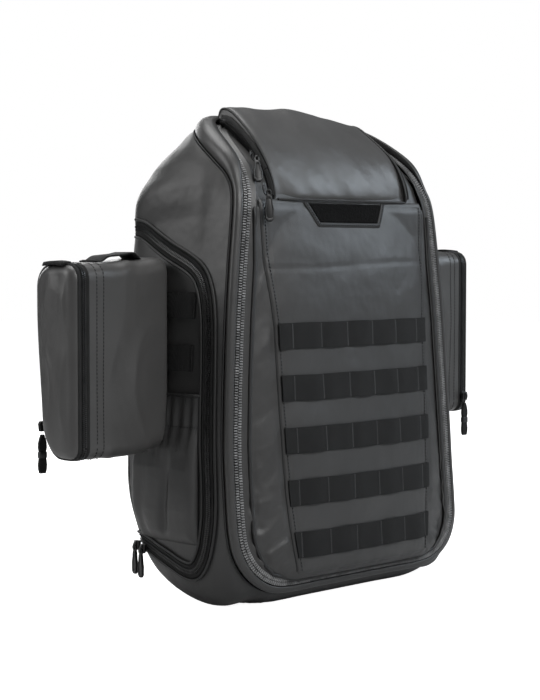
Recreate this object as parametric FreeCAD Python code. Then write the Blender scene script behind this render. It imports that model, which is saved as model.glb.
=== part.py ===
import FreeCAD, Part
import math
import os

V = FreeCAD.Vector

# Trauma backpack. Millimetres, +Z up, the front faces -Y, X = 0 is the middle.
# The origin is under the middle of the object, on the surface that it stands on.

# ---- driving dimensions ----
CLEAR = 0.4             # gap between pieces that move apart
WALL = 4.0              # body fabric with its foam
ZIP_TAPE = 13.7         # tooth line to seam on the main zipper
ZIP_THICK = 2.5
PARTING = 0.35          # half of the gap between the two halves of a zipper

FRONT_Y = -96.0         # front surface at the height FRONT_Z
FRONT_Z = 250.0
LEAN = 0.062            # the front leans back by this much per unit of height
BOW = 0.00041           # the front is bowed: y grows by BOW * x * x
RIM_Y = -75.2           # main zipper's plane at the height FRONT_Z
RIM_LEAN = 0.077

LOW_HALF = 163.0        # half width at the main zipper's teeth, low, middle, shoulder, top
MID_HALF = 157.0
SHOULDER_HALF = 142.0
TOP_HALF = 124.0
MID_Z = 220.0
SHOULDER_Z = 385.0
TOP_Z = 470.0           # where the main zipper crosses the crown
TOP_Y = 5.0
LID_BOTTOM = 18.0
CORNER = 62.0           # round lower corners of the zipper, seen from the front

FLAP_Z = 395.0          # seam between front panel and top pocket flap
FLAP_HALF = 100.0
NOTCH_HALF = 109.5      # the pocket's slider recess starts here
NOTCH_Z = 370.0

WEBBING = 25.4          # standard webbing width, and twice that is the row pitch
ROW_PITCH = 50.8
ROW_TOP_Z = 250.0       # bottom edge of the highest webbing row
ROW_COUNT = 5
WEB_THICK = 2.0
PANEL_THICK = 1.2

DOOR_GAP = 1.5
DOOR_HINGE_Y = 60.0
DOOR_ZIP = 7.0
DOOR_ZIP_RAISE = 2.0

POUCH_FRONT = -8.0
POUCH_BACK = 61.5
POUCH_LOW = 157.0
POUCH_HIGH = 341.0
POUCH_ZIP_X = 286.0
POUCH_OUT_X = 300.0
POUCH_WALL = 3.0
POUCH_OFF = 3.5         # pouch stands this far off the door

STRAP_IN = 52.0
STRAP_OUT = 112.0
STRAP_Y = 106.8
STRAP_THICK = 10.0

PULL_WIDE = 9.5
PULL_THICK = 3.0

BIG = 600.0
AXES = {"XZ": V(0, 1, 0), "YZ": V(1, 0, 0), "XY": V(0, 0, 1)}


# ---- drawing helpers ----
def at(plane, a, b):
    """The point (a, b) of the plane XZ, YZ or XY."""
    return {"XZ": V(a, 0, b), "YZ": V(0, a, b), "XY": V(a, b, 0)}[plane]


def face(plane, start, *steps):
    """A closed face. A step is an end point, or (via, end) for an arc."""
    edges = []
    here = start
    for step in steps + (start,):
        via, end = step if isinstance(step[0], tuple) else (None, step)
        if end == here:
            continue
        a = at(plane, *here)
        b = at(plane, *end)
        if via:
            edges.append(Part.Arc(a, at(plane, *via), b).toShape())
        else:
            edges.append(Part.makeLine(a, b))
        here = end
    return Part.Face(Part.Wire(edges))


def prism(plane, flat, low=-BIG, high=BIG):
    """Extrude a face square to its plane, from low to high."""
    axis = AXES[plane]
    return flat.translated(axis * low).extrude(axis * (high - low))


def block(x0, x1, y0, y1, z0, z1):
    """A box from its limits."""
    low = V(min(x0, x1), min(y0, y1), min(z0, z1))
    return Part.makeBox(abs(x1 - x0), abs(y1 - y0), abs(z1 - z0), low)


def flip(point):
    return (-point[0], point[1])


def both_halves(start, steps):
    """A front-view face from its right-hand outline, bottom to top."""
    left = []
    here = start
    for step in steps:
        via, end = step if isinstance(step[0], tuple) else (None, step)
        left.insert(0, (flip(via), flip(here)) if via else flip(here))
        here = end
    return face("XZ", start, *steps, flip(here), *left)


def ribbon(points, thick):
    """A side-view face of even thickness along a list of points."""
    def side(sign):
        out = []
        for i, (y, z) in enumerate(points):
            y0, z0 = points[max(i - 1, 0)]
            y1, z1 = points[min(i + 1, len(points) - 1)]
            run = math.hypot(y1 - y0, z1 - z0)
            out.append((y - sign * thick / 2 * (z1 - z0) / run, z + sign * thick / 2 * (y1 - y0) / run))
        return out
    loop = side(1) + side(-1)[::-1]
    return face("YZ", loop[0], *loop[1:])


def both(solid):
    """The solid and its mirror image across X = 0."""
    return [solid, solid.mirror(V(0, 0, 0), V(1, 0, 0))]


NODES = {}


def node(name, *shapes):
    """Name a sub-part. Its solids are kept separate."""
    solids = [s for shape in shapes for s in shape.Solids if s.Volume > 1.0]
    NODES[name] = solids


# ---- the pack's main surfaces ----
def outline(grow, bottom, corner):
    """Front view: the zipper's tooth line, grown sideways."""
    wide = LOW_HALF + grow
    slant = corner * (1 - math.sqrt(0.5))
    return both_halves(
        (wide - corner, bottom),
        [((wide - slant, bottom + slant), (wide, bottom + corner)),
         ((MID_HALF + grow, MID_Z), (SHOULDER_HALF + grow, SHOULDER_Z)),
         ((SHOULDER_HALF - 5.5 + grow, SHOULDER_Z + 45), (TOP_HALF + grow, TOP_Z)),
         (TOP_HALF + grow - 12, TOP_Z + 60)])


def rim_y(z):
    return RIM_Y + RIM_LEAN * (z - FRONT_Z)


def front_y(z):
    return FRONT_Y + LEAN * (z - FRONT_Z)


def body_profile():
    """Side view of the pack without its lid: the front edge is the zipper's surface."""
    return face("YZ", (-84, 0), (rim_y(16), 16), (rim_y(400), 400),
                ((-53, 424), (-30, 443)), ((-13, 458), (TOP_Y, TOP_Z)),
                ((47, 438), (69, 351)), (69, 296), (76, 165), (81, 100),
                ((74, 40), (50, 0)))


def lid_profile():
    """Side view of everything under the lid's outer skin. The bowed front trims it further."""
    proud = 2.0
    return face("YZ", (rim_y(LID_BOTTOM), LID_BOTTOM), ((-107, 24), (front_y(38) - proud, 38)),
                (front_y(FLAP_Z) - proud, FLAP_Z), ((-72, 434), (-42, 462)), (4, 476),
                (4, LID_BOTTOM))


def front_block():
    """Everything behind the bowed and leaning front surface."""
    half = 190.0
    low = front_y(0)
    plan = face("XY", (-half, BIG), (-half, low + BOW * half ** 2),
                ((0, low), (half, low + BOW * half ** 2)), (half, BIG))
    return plan.extrude(V(0, LEAN * BIG, BIG))


BODY = prism("YZ", body_profile())
LID = prism("YZ", lid_profile())
FRONT = front_block()
BODY_FRONT_VIEW = prism("XZ", outline(ZIP_TAPE, 0, CORNER))


def moved(solid, y, z):
    return solid.translated(V(0, y, z))


def front_skin(low, high):
    """A layer on the front surface, from low to high in front of it."""
    return moved(FRONT, -high, 0).cut(moved(FRONT, -low, 0))


def side_skin(side, low, high, z0, z1):
    """A layer on the body's side, from low to high outside it."""
    outer = prism("XZ", outline(ZIP_TAPE + high, 0, CORNER))
    inner = prism("XZ", outline(ZIP_TAPE + low, 0, CORNER))
    return outer.cut(inner).common(block(side * 100, side * BIG, -BIG, BIG, z0, z1))


# ---- body ----
def door_face(grow):
    """Side view of the door's opening: a D with its straight edge at the back."""
    flat = face("YZ", (DOOR_HINGE_Y, 57), (40, 55), (-22, 36), ((-50, 52), (-58, 100)),
                (-51, 262), ((-45, 305), (-28, 328)), (40, 366), (DOOR_HINGE_Y, 367))
    return flat.makeOffset2D(grow) if grow else flat


def body_shell():
    outer = BODY.common(BODY_FRONT_VIEW)
    inner = prism("YZ", body_profile().makeOffset2D(-WALL))
    inner = inner.common(prism("XZ", outline(ZIP_TAPE - WALL, WALL, CORNER - WALL)))
    mouth = prism("XZ", outline(-WALL, 22, CORNER - 10), -150, TOP_Y - WALL)
    return outer.cut(inner).cut(mouth.common(block(-BIG, BIG, -150, TOP_Y - WALL, 0, TOP_Z - WALL)))


def body_panels():
    shell = body_shell()
    rim = shell.cut(moved(BODY, 6, -6))
    node("rim_band", rim)
    rest = shell.cut(rim)
    node("base_panel", rest.common(block(-BIG, BIG, -BIG, 62, -1, 34)))
    node("back_wall", rest.common(block(-BIG, BIG, 62, BIG, -1, BIG)))
    upper = rest.common(block(-BIG, BIG, -BIG, 62, 34, BIG))
    node("crown_panel", upper.common(block(-BIG, BIG, -BIG, BIG, 402, BIG)))
    walls = upper.common(block(-BIG, BIG, -BIG, BIG, 34, 402))
    hole = prism("YZ", door_face(0))
    for name, side in (("left", -1), ("right", 1)):
        wall = walls.common(block(0, side * BIG, -BIG, BIG, -BIG, BIG))
        node("side_panel_" + name, wall.cut(hole))
        ring = prism("YZ", door_face(DOOR_ZIP)).cut(prism("YZ", door_face(PARTING)))
        ring = ring.common(block(-BIG, BIG, -BIG, DOOR_HINGE_Y - 8, 0, BIG))
        skin = side_skin(side, 0.05, DOOR_ZIP_RAISE, 20, BIG)
        node("door_zip_frame_" + name, ring.common(skin))
        door(name, side, wall)


def main_zip():
    """Two halves of the main zipper: one on the body and one on the lid."""
    skin = moved(BODY, -ZIP_THICK, ZIP_THICK).cut(BODY)
    view = prism("XZ", outline(ZIP_TAPE, 0, CORNER))
    teeth_out = prism("XZ", outline(PARTING, 10, CORNER))
    behind = block(-BIG, BIG, TOP_Y + PARTING, BIG, TOP_Z - 60, BIG)
    outer = skin.common(view).common(block(-BIG, BIG, -BIG, TOP_Y + PARTING, 1, BIG)).cut(teeth_out)
    strip = skin.common(view).common(block(-BIG, BIG, TOP_Y + PARTING, TOP_Y + 12, TOP_Z - 40, BIG))
    node("main_zip_outer", outer.fuse(strip.common(behind)))
    lid_skin = moved(BODY, -ZIP_THICK - CLEAR, ZIP_THICK + CLEAR).cut(moved(BODY, -CLEAR, CLEAR))
    teeth_in = prism("XZ", outline(-PARTING, 14, CORNER))
    pillow = prism("XZ", outline(-ZIP_TAPE, LID_BOTTOM, CORNER - 10))
    inner = lid_skin.common(teeth_in).cut(pillow).common(block(-BIG, BIG, -BIG, 4, 17, BIG))
    node("main_zip_inner", inner)


# ---- front lid ----
def lid_parts():
    pillow = prism("XZ", outline(-ZIP_TAPE, LID_BOTTOM, CORNER - 10))
    space = moved(BODY, -CLEAR, CLEAR)
    whole = LID.common(pillow).common(FRONT).cut(space)
    recess = moved(LID, 13, -10)
    for side in (-1, 1):
        corner = block(side * NOTCH_HALF, side * BIG, -BIG, BIG, NOTCH_Z, BIG)
        whole = whole.cut(corner.cut(recess))
    hollow = moved(LID, WALL, -WALL).common(moved(FRONT, WALL, 0))
    hollow = hollow.common(prism("XZ", outline(-ZIP_TAPE - WALL, LID_BOTTOM + WALL, CORNER - 14)))
    hollow = hollow.common(block(-BIG, BIG, -BIG, rim_y(340), 0, NOTCH_Z - 6))
    node("lid_shell", whole.cut(hollow))

    panel = face("XZ", (-99, 40), (99, 40), (104, 55), (109, 160), (113, 300), (108, 393),
                 (-108, 393), (-113, 300), (-109, 160), (-104, 55))
    node("molle_panel", front_skin(0.05, PANEL_THICK).common(prism("XZ", panel)))
    web = front_skin(PANEL_THICK + 0.05, PANEL_THICK + WEB_THICK)
    for row in range(ROW_COUNT):
        low = ROW_TOP_Z - row * ROW_PITCH * math.cos(math.atan(LEAN))
        band = block(-BIG, BIG, -BIG, 0, low, low + WEBBING).common(prism("XZ", panel))
        node("molle_row_%d" % (row + 1), web.common(band))
    patch = face("XZ", (-43, 373), (43, 373), (57, 392.5), (-57, 392.5))
    node("loop_patch", web.common(prism("XZ", patch)))


def flap_profile():
    """Side view of the domed top pocket."""
    return face("YZ", (-90, FLAP_Z + 1), ((-79, 438), (-61, 470)), ((-38, 487), (-10, 490)),
                ((-2, 486), (1, 477)), (1, FLAP_Z + 1))


def flap_parts():
    view = both_halves((FLAP_HALF + 2, FLAP_Z), [(FLAP_HALF, 450), (FLAP_HALF - 4, 480),
                                                 ((FLAP_HALF - 8, 487), (FLAP_HALF - 18, 490.5))])
    dome = prism("YZ", flap_profile()).common(prism("XZ", view)).common(FRONT)
    dome = dome.cut(moved(LID, -CLEAR, CLEAR)).cut(moved(BODY, -CLEAR, CLEAR))
    inside = moved(dome, 2.5, -3).fuse(moved(dome, 2.5, -12))
    inside = inside.common(block(-FLAP_HALF + 6, FLAP_HALF - 6, -BIG, -2, 0, BIG))
    node("top_flap", dome.cut(inside))
    band = moved(LID, -5, 7).cut(moved(LID, -0.3, 0.3)).cut(BODY)
    strip = band.common(block(FLAP_HALF + 3, FLAP_HALF + 6, -BIG, 2, FLAP_Z + 6, BIG))
    node("top_pocket_zip", *both(strip.common(FRONT)))


# ---- side doors and pouches ----
def door(name, side, wall):
    leaf = prism("YZ", door_face(-DOOR_GAP))
    node("door_panel_" + name, wall.common(leaf))
    ring = leaf.cut(prism("YZ", door_face(-DOOR_GAP - DOOR_ZIP)))
    ring = ring.common(block(-BIG, BIG, -BIG, DOOR_HINGE_Y - 10, 0, BIG))
    skin = side_skin(side, 0.05, DOOR_ZIP_RAISE, 20, BIG)
    node("door_zip_" + name, ring.common(skin))
    rows = []
    for low in (229.2, 280.0):
        web = side_skin(side, 0.05, WEB_THICK, low, low + WEBBING)
        rows.append(web.common(block(-BIG, BIG, -33, 44, 0, BIG)))
    node("door_molle_" + name, *rows)
    bulge = side_skin(side, 0.05, 10, 66, 150).common(block(-BIG, BIG, -41, 43, 0, BIG))
    hem = side_skin(side, 0.05, 3, 150, 206).common(block(-BIG, BIG, -41, 43, 0, BIG))
    node("door_pocket_" + name, bulge.fuse(hem))
    pouch(name, side)


def pouch_view(grow):
    """Front view of the right-hand pouch, with a round lower outer corner."""
    low = POUCH_LOW - grow
    high = POUCH_HIGH + grow
    out = POUCH_OUT_X + grow
    corner = 22.0
    slant = corner * (1 - math.sqrt(0.5))
    return face("XZ", (150, low), (out - corner, low), ((out - slant, low + slant), (out, low + corner)),
                (out, high - 12), ((out - 3.5, high - 3.5), (out - 12, high)), (150, high))


def pouch(name, side):
    outer = prism("XZ", pouch_view(0), POUCH_FRONT, POUCH_BACK)
    inner = prism("XZ", pouch_view(-POUCH_WALL), POUCH_FRONT + POUCH_WALL, POUCH_BACK - POUCH_WALL)
    outer = outer.cut(prism("XZ", outline(ZIP_TAPE + POUCH_OFF, 0, CORNER)))
    inner = inner.cut(prism("XZ", outline(ZIP_TAPE + POUCH_OFF + POUCH_WALL, 0, CORNER)))
    case = outer.cut(inner)
    parts = {
        "pouch_shell_": case.common(block(0, POUCH_ZIP_X, -BIG, BIG, 0, BIG)),
        "pouch_lid_": case.common(block(POUCH_ZIP_X + CLEAR, BIG, -BIG, BIG, 0, BIG)),
    }
    mid = (POUCH_FRONT + POUCH_BACK) / 2
    top = POUCH_HIGH + 0.2
    arch = face("XZ", (196, top), (202, top + 2), (204, top + 7), (240, top + 7), (242, top + 2),
                (248, top), (254, top), (246, top + 4), (243, top + 9), (201, top + 9), (198, top + 4),
                (190, top))
    parts["pouch_handle_"] = prism("XZ", arch, mid - 12.7, mid + 12.7)
    back = name == "left"
    skin = POUCH_BACK if back else POUCH_FRONT
    out = 1 if back else -1
    slot = POUCH_ZIP_X
    parts["pouch_slider_"] = block(slot - 5, slot + 5, skin + out * CLEAR, skin + out * 4.5, 173, 184)
    parts["pouch_pull_"] = block(slot - 6, slot + 6, skin + out * 0.9, skin + out * 3.9, 133, 170.6)
    for part, shape in parts.items():
        if side < 0:
            shape = shape.mirror(V(0, 0, 0), V(1, 0, 0))
        node(part + name, shape)


# ---- sliders and pulls ----
def tab(length):
    """A moulded pull hanging from the origin, tapered to its end."""
    half = PULL_WIDE / 2
    flat = face("XZ", (-half * 0.7, 0), (-half, -length * 0.25), (-half, -length * 0.7),
                ((0, -length), (half, -length * 0.7)), (half, -length * 0.25), (half * 0.7, 0))
    return prism("XZ", flat, -PULL_THICK / 2, PULL_THICK / 2)


def placed(shape, x, y, z, tilt):
    """Tilt about X, then move: a positive tilt swings the lower end to +Y."""
    shape = shape.copy()
    shape.rotate(V(0, 0, 0), V(1, 0, 0), tilt)
    return shape.translated(V(x, y, z))


def sliders():
    for name, side in (("left", -1), ("right", 1)):
        x = side * 14.0
        node("main_slider_" + name, block(x - 5, x + 5, TOP_Y + 1.5, TOP_Y + 11, 473.2, 477.2))
        node("main_pull_" + name, placed(tab(27), x, TOP_Y + 13.2, 475.5, 48))
        grips = []
        for y, z in ((44, 48), (56, 50)):
            x0 = side * (LOW_HALF + ZIP_TAPE + DOOR_ZIP_RAISE + 1.0)
            grips.append(block(x0, x0 + side * 4, y - 4, y + 4, z - 5, z + 6))
            drop = tab(24)
            drop.rotate(V(0, 0, 0), V(0, 0, 1), 90)
            grips.append(drop.translated(V(x0 + side * 2, y, z - 5.05)))
        node("door_sliders_" + name, *grips)
    x = -116.0
    upper = placed(block(-4.5, 4.5, -3.5, 3.5, -5, 5), x, -58.5, 437, -30)
    lower = placed(block(-4.5, 4.5, -3.5, 3.5, -5, 5), x, -75, 404, -20)
    node("pocket_sliders", upper, lower)
    node("pocket_pull_upper", placed(tab(22), x, -64.5, 432.0, -30))
    node("pocket_pull_lower", placed(tab(26), x, -80.6, 398.3, -12))


# ---- carrying system ----
def back_parts():
    behind = moved(BODY, 14, 0).cut(moved(BODY, 0.05, 0))
    pad = behind.common(block(10, 48, 60, BIG, 222, 345))
    lumbar = behind.common(block(-78, 78, 60, BIG, 78, 168))
    node("back_pads", *both(pad), lumbar)
    sheet = moved(BODY, -WALL - 0.1, 0).cut(moved(BODY, -WALL - 2.1, 0))
    node("frame_sheet", sheet.common(block(-120, 120, 45, BIG, 60, 330)))
    stay = moved(BODY, -WALL - 2.2, 0).cut(moved(BODY, -WALL - 5.2, 0))
    node("frame_stays", *both(stay.common(block(50, 70, 45, BIG, 70, 320))))

    line = [(71, 401), (84, 414), (100, 411), (STRAP_Y - 0.2, 396), (STRAP_Y, 380), (STRAP_Y, 250),
            (104, 158)]
    strap = prism("YZ", ribbon(line, STRAP_THICK), STRAP_IN, STRAP_OUT)
    for name, shape in zip(("right", "left"), both(strap)):
        node("shoulder_strap_" + name, shape)
    lifter = prism("YZ", ribbon([(57, 434.5), (96, 423.5)], WEB_THICK), 72, 92)
    node("load_lifters", *both(lifter))
    lower = prism("YZ", ribbon([(104, 137), (95, 100), (84.3, 66)], WEB_THICK), 78, 103.4)
    node("lower_straps", *both(lower))
    buckle = block(76, 105.4, 99, 108, 138.5, 156).cut(block(80, 101.4, 98, 109, 143, 147))
    node("strap_adjusters", *both(buckle))
    grip = face("XZ", (-52, 356), (-30, 356), (-28, 440), (28, 440), (30, 356), (52, 356), (50, 452),
                ((46, 460), (38, 462)), (-38, 462), ((-46, 460), (-50, 452)))
    node("haul_handle", prism("XZ", grip, 73, 76.5))

    z = 335.0
    inner = STRAP_IN - 0.4
    node("sternum_strap", block(22.4, inner, 106, 108, z - 10, z + 10),
         block(-inner, -22.4, 106, 108, z - 10, z + 10))
    plug = block(0.2, 22, 103, 111, z - 13, z + 13)
    node("sternum_buckle_plug", plug)
    node("sternum_buckle_socket", block(-22, -0.2, 103, 111.5, z - 14, z + 14))


def main():
    body_panels()
    main_zip()
    lid_parts()
    flap_parts()
    sliders()
    back_parts()
    os.makedirs("parts", exist_ok=True)
    for name, solids in NODES.items():
        shape = solids[0] if len(solids) == 1 else Part.makeCompound(solids)
        shape.exportStep("parts/%s.step" % name)


main()
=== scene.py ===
import math

import bmesh
import bpy
import numpy as np
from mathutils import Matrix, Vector, noise
from mathutils.bvhtree import BVHTree


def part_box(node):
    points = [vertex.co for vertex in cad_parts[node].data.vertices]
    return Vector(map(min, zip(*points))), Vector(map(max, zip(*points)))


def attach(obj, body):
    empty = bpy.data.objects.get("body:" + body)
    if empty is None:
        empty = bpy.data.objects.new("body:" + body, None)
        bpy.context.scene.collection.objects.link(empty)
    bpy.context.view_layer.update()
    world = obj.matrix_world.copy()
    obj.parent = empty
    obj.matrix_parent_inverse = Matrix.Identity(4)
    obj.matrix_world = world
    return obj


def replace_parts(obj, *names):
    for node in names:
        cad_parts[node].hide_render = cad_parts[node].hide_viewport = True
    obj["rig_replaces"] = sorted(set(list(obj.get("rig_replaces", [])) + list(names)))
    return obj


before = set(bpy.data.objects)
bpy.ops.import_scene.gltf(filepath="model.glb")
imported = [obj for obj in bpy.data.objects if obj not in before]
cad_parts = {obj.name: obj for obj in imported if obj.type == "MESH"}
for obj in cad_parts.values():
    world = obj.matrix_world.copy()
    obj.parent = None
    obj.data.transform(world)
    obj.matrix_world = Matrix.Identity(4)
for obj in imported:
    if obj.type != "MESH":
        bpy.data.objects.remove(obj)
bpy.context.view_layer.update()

# Shapes are worked out in millimetres, in the frame's axes, and scaled when a mesh is made.
MM = 0.001
LEFT, RIGHT = -1, 1
SIDES = (("left", LEFT), ("right", RIGHT))
FRONTWARD = np.array([0, -1.0, 0.06])   # the way the lid's front faces
INSIDE = (0, 60, 240)                   # a place inside the pack, behind the lid
DOME_MIDDLE = np.array([0, -20, 430])   # a place inside the top pocket


def cad(name):
    """A CAD node's lowest and highest corners in millimetres."""
    low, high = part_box(name)
    return np.array(low) / MM, np.array(high) / MM


# ---------------------------------------------------------------- stage, camera, lights
def make_camera():
    data = bpy.data.cameras.new("camera")
    data.sensor_width = 36.0
    data.lens = 94.0
    data.clip_end = 20.0
    obj = bpy.data.objects.new("camera", data)
    obj.location = (-1.398, -1.293, 0.343)
    obj.rotation_euler = (math.radians(90 - 3.03), 0, math.radians(-46.62))
    bpy.context.scene.collection.objects.link(obj)
    bpy.context.scene.camera = obj


def area_light(name, place, aim, size, watts, tint):
    data = bpy.data.lights.new(name, "AREA")
    data.shape = "RECTANGLE"
    data.size, data.size_y = size
    data.energy = watts
    data.color = tint
    obj = bpy.data.objects.new(name, data)
    obj.location = place
    obj.rotation_euler = (Vector(aim) - Vector(place)).to_track_quat("-Z", "Y").to_euler()
    bpy.context.scene.collection.objects.link(obj)


def seen_or_lit(tree, seen, lit, target):
    """The camera sees one shader, and every other ray meets another."""
    path, mix = tree.nodes.new("ShaderNodeLightPath"), tree.nodes.new("ShaderNodeMixShader")
    for source, socket in ((path.outputs["Is Camera Ray"], mix.inputs[0]), (lit.outputs[0], mix.inputs[1]),
                           (seen.outputs[0], mix.inputs[2]), (mix.outputs[0], target)):
        tree.links.new(source, socket)


def make_stage():
    scene = bpy.context.scene
    scene.view_settings.view_transform = "Standard"
    world = bpy.data.worlds.new("studio")
    world.use_nodes = True
    tree = world.node_tree
    seen, lit = tree.nodes["Background"], tree.nodes.new("ShaderNodeBackground")
    seen.inputs["Color"].default_value = (1, 1, 1, 1)
    lit.inputs["Color"].default_value = (0.92, 0.96, 1, 1)
    lit.inputs["Strength"].default_value = 0.12
    seen_or_lit(tree, seen, lit, tree.nodes["World Output"].inputs["Surface"])
    scene.world = world
    bpy.ops.mesh.primitive_plane_add(size=12, location=(0, 0, 0))
    floor = bpy.context.object
    floor.name = "floor"
    surface = bpy.data.materials.new("floor")
    surface.use_nodes = True
    tree = surface.node_tree
    shader, glow = tree.nodes["Principled BSDF"], tree.nodes.new("ShaderNodeEmission")
    shader.inputs["Base Color"].default_value = (0.55, 0.55, 0.55, 1)
    shader.inputs["Roughness"].default_value = 0.9
    glow.inputs["Strength"].default_value = 0.97
    total = tree.nodes.new("ShaderNodeAddShader")
    tree.links.new(shader.outputs[0], total.inputs[0])
    tree.links.new(glow.outputs[0], total.inputs[1])
    seen_or_lit(tree, total, shader, tree.nodes["Material Output"].inputs["Surface"])
    floor.data.materials.append(surface)
    for name, place, size, watts, tint in (
            ("key", (-0.2, -2.1, 1.7), (1.2, 1.0), 46, (1, 1, 1)),
            ("side", (-1.9, 1.1, 1.3), (0.9, 1.4), 24, (1, 1, 1)),
            ("edge", (1.6, -1.15, 1.2), (0.7, 0.9), 16, (0.80, 0.90, 1.0)),
            ("top", (0, 0.3, 2.3), (1.5, 1.5), 38, (1, 1, 1)),
            ("back", (0.9, 2.3, 1.1), (1.4, 1.2), 26, (1, 1, 1))):
        area_light(name, place, (0, 0, 0.25), size, watts, tint)


# ---------------------------------------------------------------- materials
def grey(value):
    """Linear grey from a display value of 0 to 255."""
    return (value / 255.0) ** 2.2


class Shader:
    """A small helper to build a node material."""

    def __init__(self, name):
        self.material = bpy.data.materials.new(name)
        self.material.use_nodes = True
        self.tree = self.material.node_tree
        self.out = self.tree.nodes["Principled BSDF"]
        self.coords = self.add("ShaderNodeTexCoord").outputs["Object"]

    def add(self, kind, **values):
        node = self.tree.nodes.new(kind)
        for key, value in values.items():
            if key in node.inputs:
                node.inputs[key].default_value = value
            else:
                setattr(node, key, value)
        return node

    def link(self, a, b):
        """Feed a socket with another socket or a fixed value."""
        if hasattr(a, "links"):
            self.tree.links.new(a, b)
        else:
            b.default_value = a

    def noise(self, scale, detail=2.0, stretch=(1, 1, 1), rough=0.5):
        mapping = self.add("ShaderNodeMapping", Scale=stretch)
        self.link(self.coords, mapping.inputs["Vector"])
        node = self.add("ShaderNodeTexNoise", Scale=scale, Detail=detail, Roughness=rough)
        self.link(mapping.outputs["Vector"], node.inputs["Vector"])
        return node.outputs["Fac"]

    def wave(self, scale, axis):
        node = self.add("ShaderNodeTexWave", Scale=scale, bands_direction=axis)
        self.link(self.coords, node.inputs["Vector"])
        return node.outputs["Fac"]

    def mix(self, a, b, how="ADD"):
        node = self.add("ShaderNodeMath", operation=how)
        self.link(a, node.inputs[0])
        self.link(b, node.inputs[1])
        return node.outputs[0]

    def ramp(self, fac, low, high, start=0.3, end=0.7):
        node = self.add("ShaderNodeValToRGB")
        for stop, place, color in zip(node.color_ramp.elements, (start, end), (low, high)):
            stop.position, stop.color = place, (*color, 1)
        self.link(fac, node.inputs["Fac"])
        return node.outputs["Color"]

    def span(self, fac, low, high):
        node = self.add("ShaderNodeMapRange", **{"To Min": low, "To Max": high})
        self.link(fac, node.inputs["Value"])
        return node.outputs["Result"]

    def bump(self, height, strength, distance, after=None):
        node = self.add("ShaderNodeBump", Strength=strength, Distance=distance)
        self.link(height, node.inputs["Height"])
        if after is not None:
            self.link(after, node.inputs["Normal"])
        return node.outputs["Normal"]

    def done(self, color, rough, normal, **fixed):
        self.link(color, self.out.inputs["Base Color"])
        self.link(rough, self.out.inputs["Roughness"])
        self.link(normal, self.out.inputs["Normal"])
        for key, value in fixed.items():
            self.out.inputs[key.replace("_", " ")].default_value = value
        return self.material


def tone(value, warm=0.0):
    """A near-neutral dark colour from a display grey."""
    g = grey(value)
    return (g * (1 + warm), g, g * (1 - warm))


def coated_nylon(name, low, high, rough=(0.40, 0.52), wrinkle=0.5):
    """Satin coated nylon: cloudy tone, fine plain weave and small soft wrinkles."""
    s = Shader(name)
    cloud = s.noise(9, 3)
    color = s.ramp(cloud, tone(low, 0.02), tone(high, 0.015))
    weave = s.mix(s.wave(1150, "Z"), s.wave(1150, "X"), "MULTIPLY")
    weave = s.mix(weave, s.wave(1150, "Y"))
    normal = s.bump(weave, 0.08, 0.0002)
    normal = s.bump(s.noise(520, 3), 0.12, 0.0004, normal)
    normal = s.bump(s.noise(16, 3, (1, 1, 1), 0.55), wrinkle, 0.006, normal)
    roughness = s.span(s.noise(30, 4), *rough)
    return s.done(color, roughness, normal, Specular_IOR_Level=0.5)


def webbing_material(name, value):
    """Matt woven nylon tape: fine ribs both ways."""
    s = Shader(name)
    color = s.ramp(s.noise(60, 4), tone(value * 0.86), tone(value * 1.12))
    ribs = s.mix(s.wave(640, "Z"), s.wave(900, "X"), "MULTIPLY")
    normal = s.bump(ribs, 0.55, 0.0005)
    normal = s.bump(s.noise(380, 3), 0.35, 0.0006, normal)
    return s.done(color, 0.78, normal, Specular_IOR_Level=0.3)


def moulded(name, value, rough):
    """Moulded plastic or rubber with a fine spark-eroded grain."""
    s = Shader(name)
    color = s.ramp(s.noise(35, 4), tone(value * 0.9), tone(value * 1.1))
    normal = s.bump(s.noise(900, 2), 0.2, 0.0002)
    return s.done(color, s.span(s.noise(60, 3), rough - 0.06, rough + 0.08), normal)


def coil_material(name, value):
    """Polyester coil teeth, slightly worn and shiny on top."""
    s = Shader(name)
    color = s.ramp(s.noise(120, 4), tone(value * 0.72), tone(value * 1.15))
    normal = s.bump(s.noise(700, 2), 0.15, 0.0002)
    return s.done(color, 0.34, normal, Specular_IOR_Level=0.7)


def metal_material(name, value):
    """Brushed metal, a little uneven in its shine."""
    s = Shader(name)
    color = s.ramp(s.noise(70, 5), tone(value * 0.8), tone(value * 1.1))
    normal = s.bump(s.noise(500, 3, (1, 1, 8)), 0.12, 0.0002)
    return s.done(color, s.span(s.noise(90, 4), 0.25, 0.42), normal, Metallic=0.9)


def mesh_material(name, value):
    """Spacer mesh: a hexagonal net of small dark holes."""
    s = Shader(name)
    cells = s.add("ShaderNodeTexVoronoi", Scale=330.0, Randomness=0.25)
    s.link(s.coords, cells.inputs["Vector"])
    hole = cells.outputs["Distance"]
    color = s.ramp(hole, tone(value * 1.25), tone(value * 0.45), 0.35, 0.6)
    normal = s.bump(hole, 0.7, 0.0012)
    return s.done(color, 0.85, normal, Specular_IOR_Level=0.25)


def pile_material(name, value):
    """Loop pile: matt and fuzzy."""
    s = Shader(name)
    color = s.ramp(s.noise(420, 4), tone(value * 0.55), tone(value * 1.5), 0.35, 0.65)
    normal = s.bump(s.noise(700, 4), 0.9, 0.002)
    return s.done(color, 0.95, normal, Specular_IOR_Level=0.15)


MAT = {}


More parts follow.
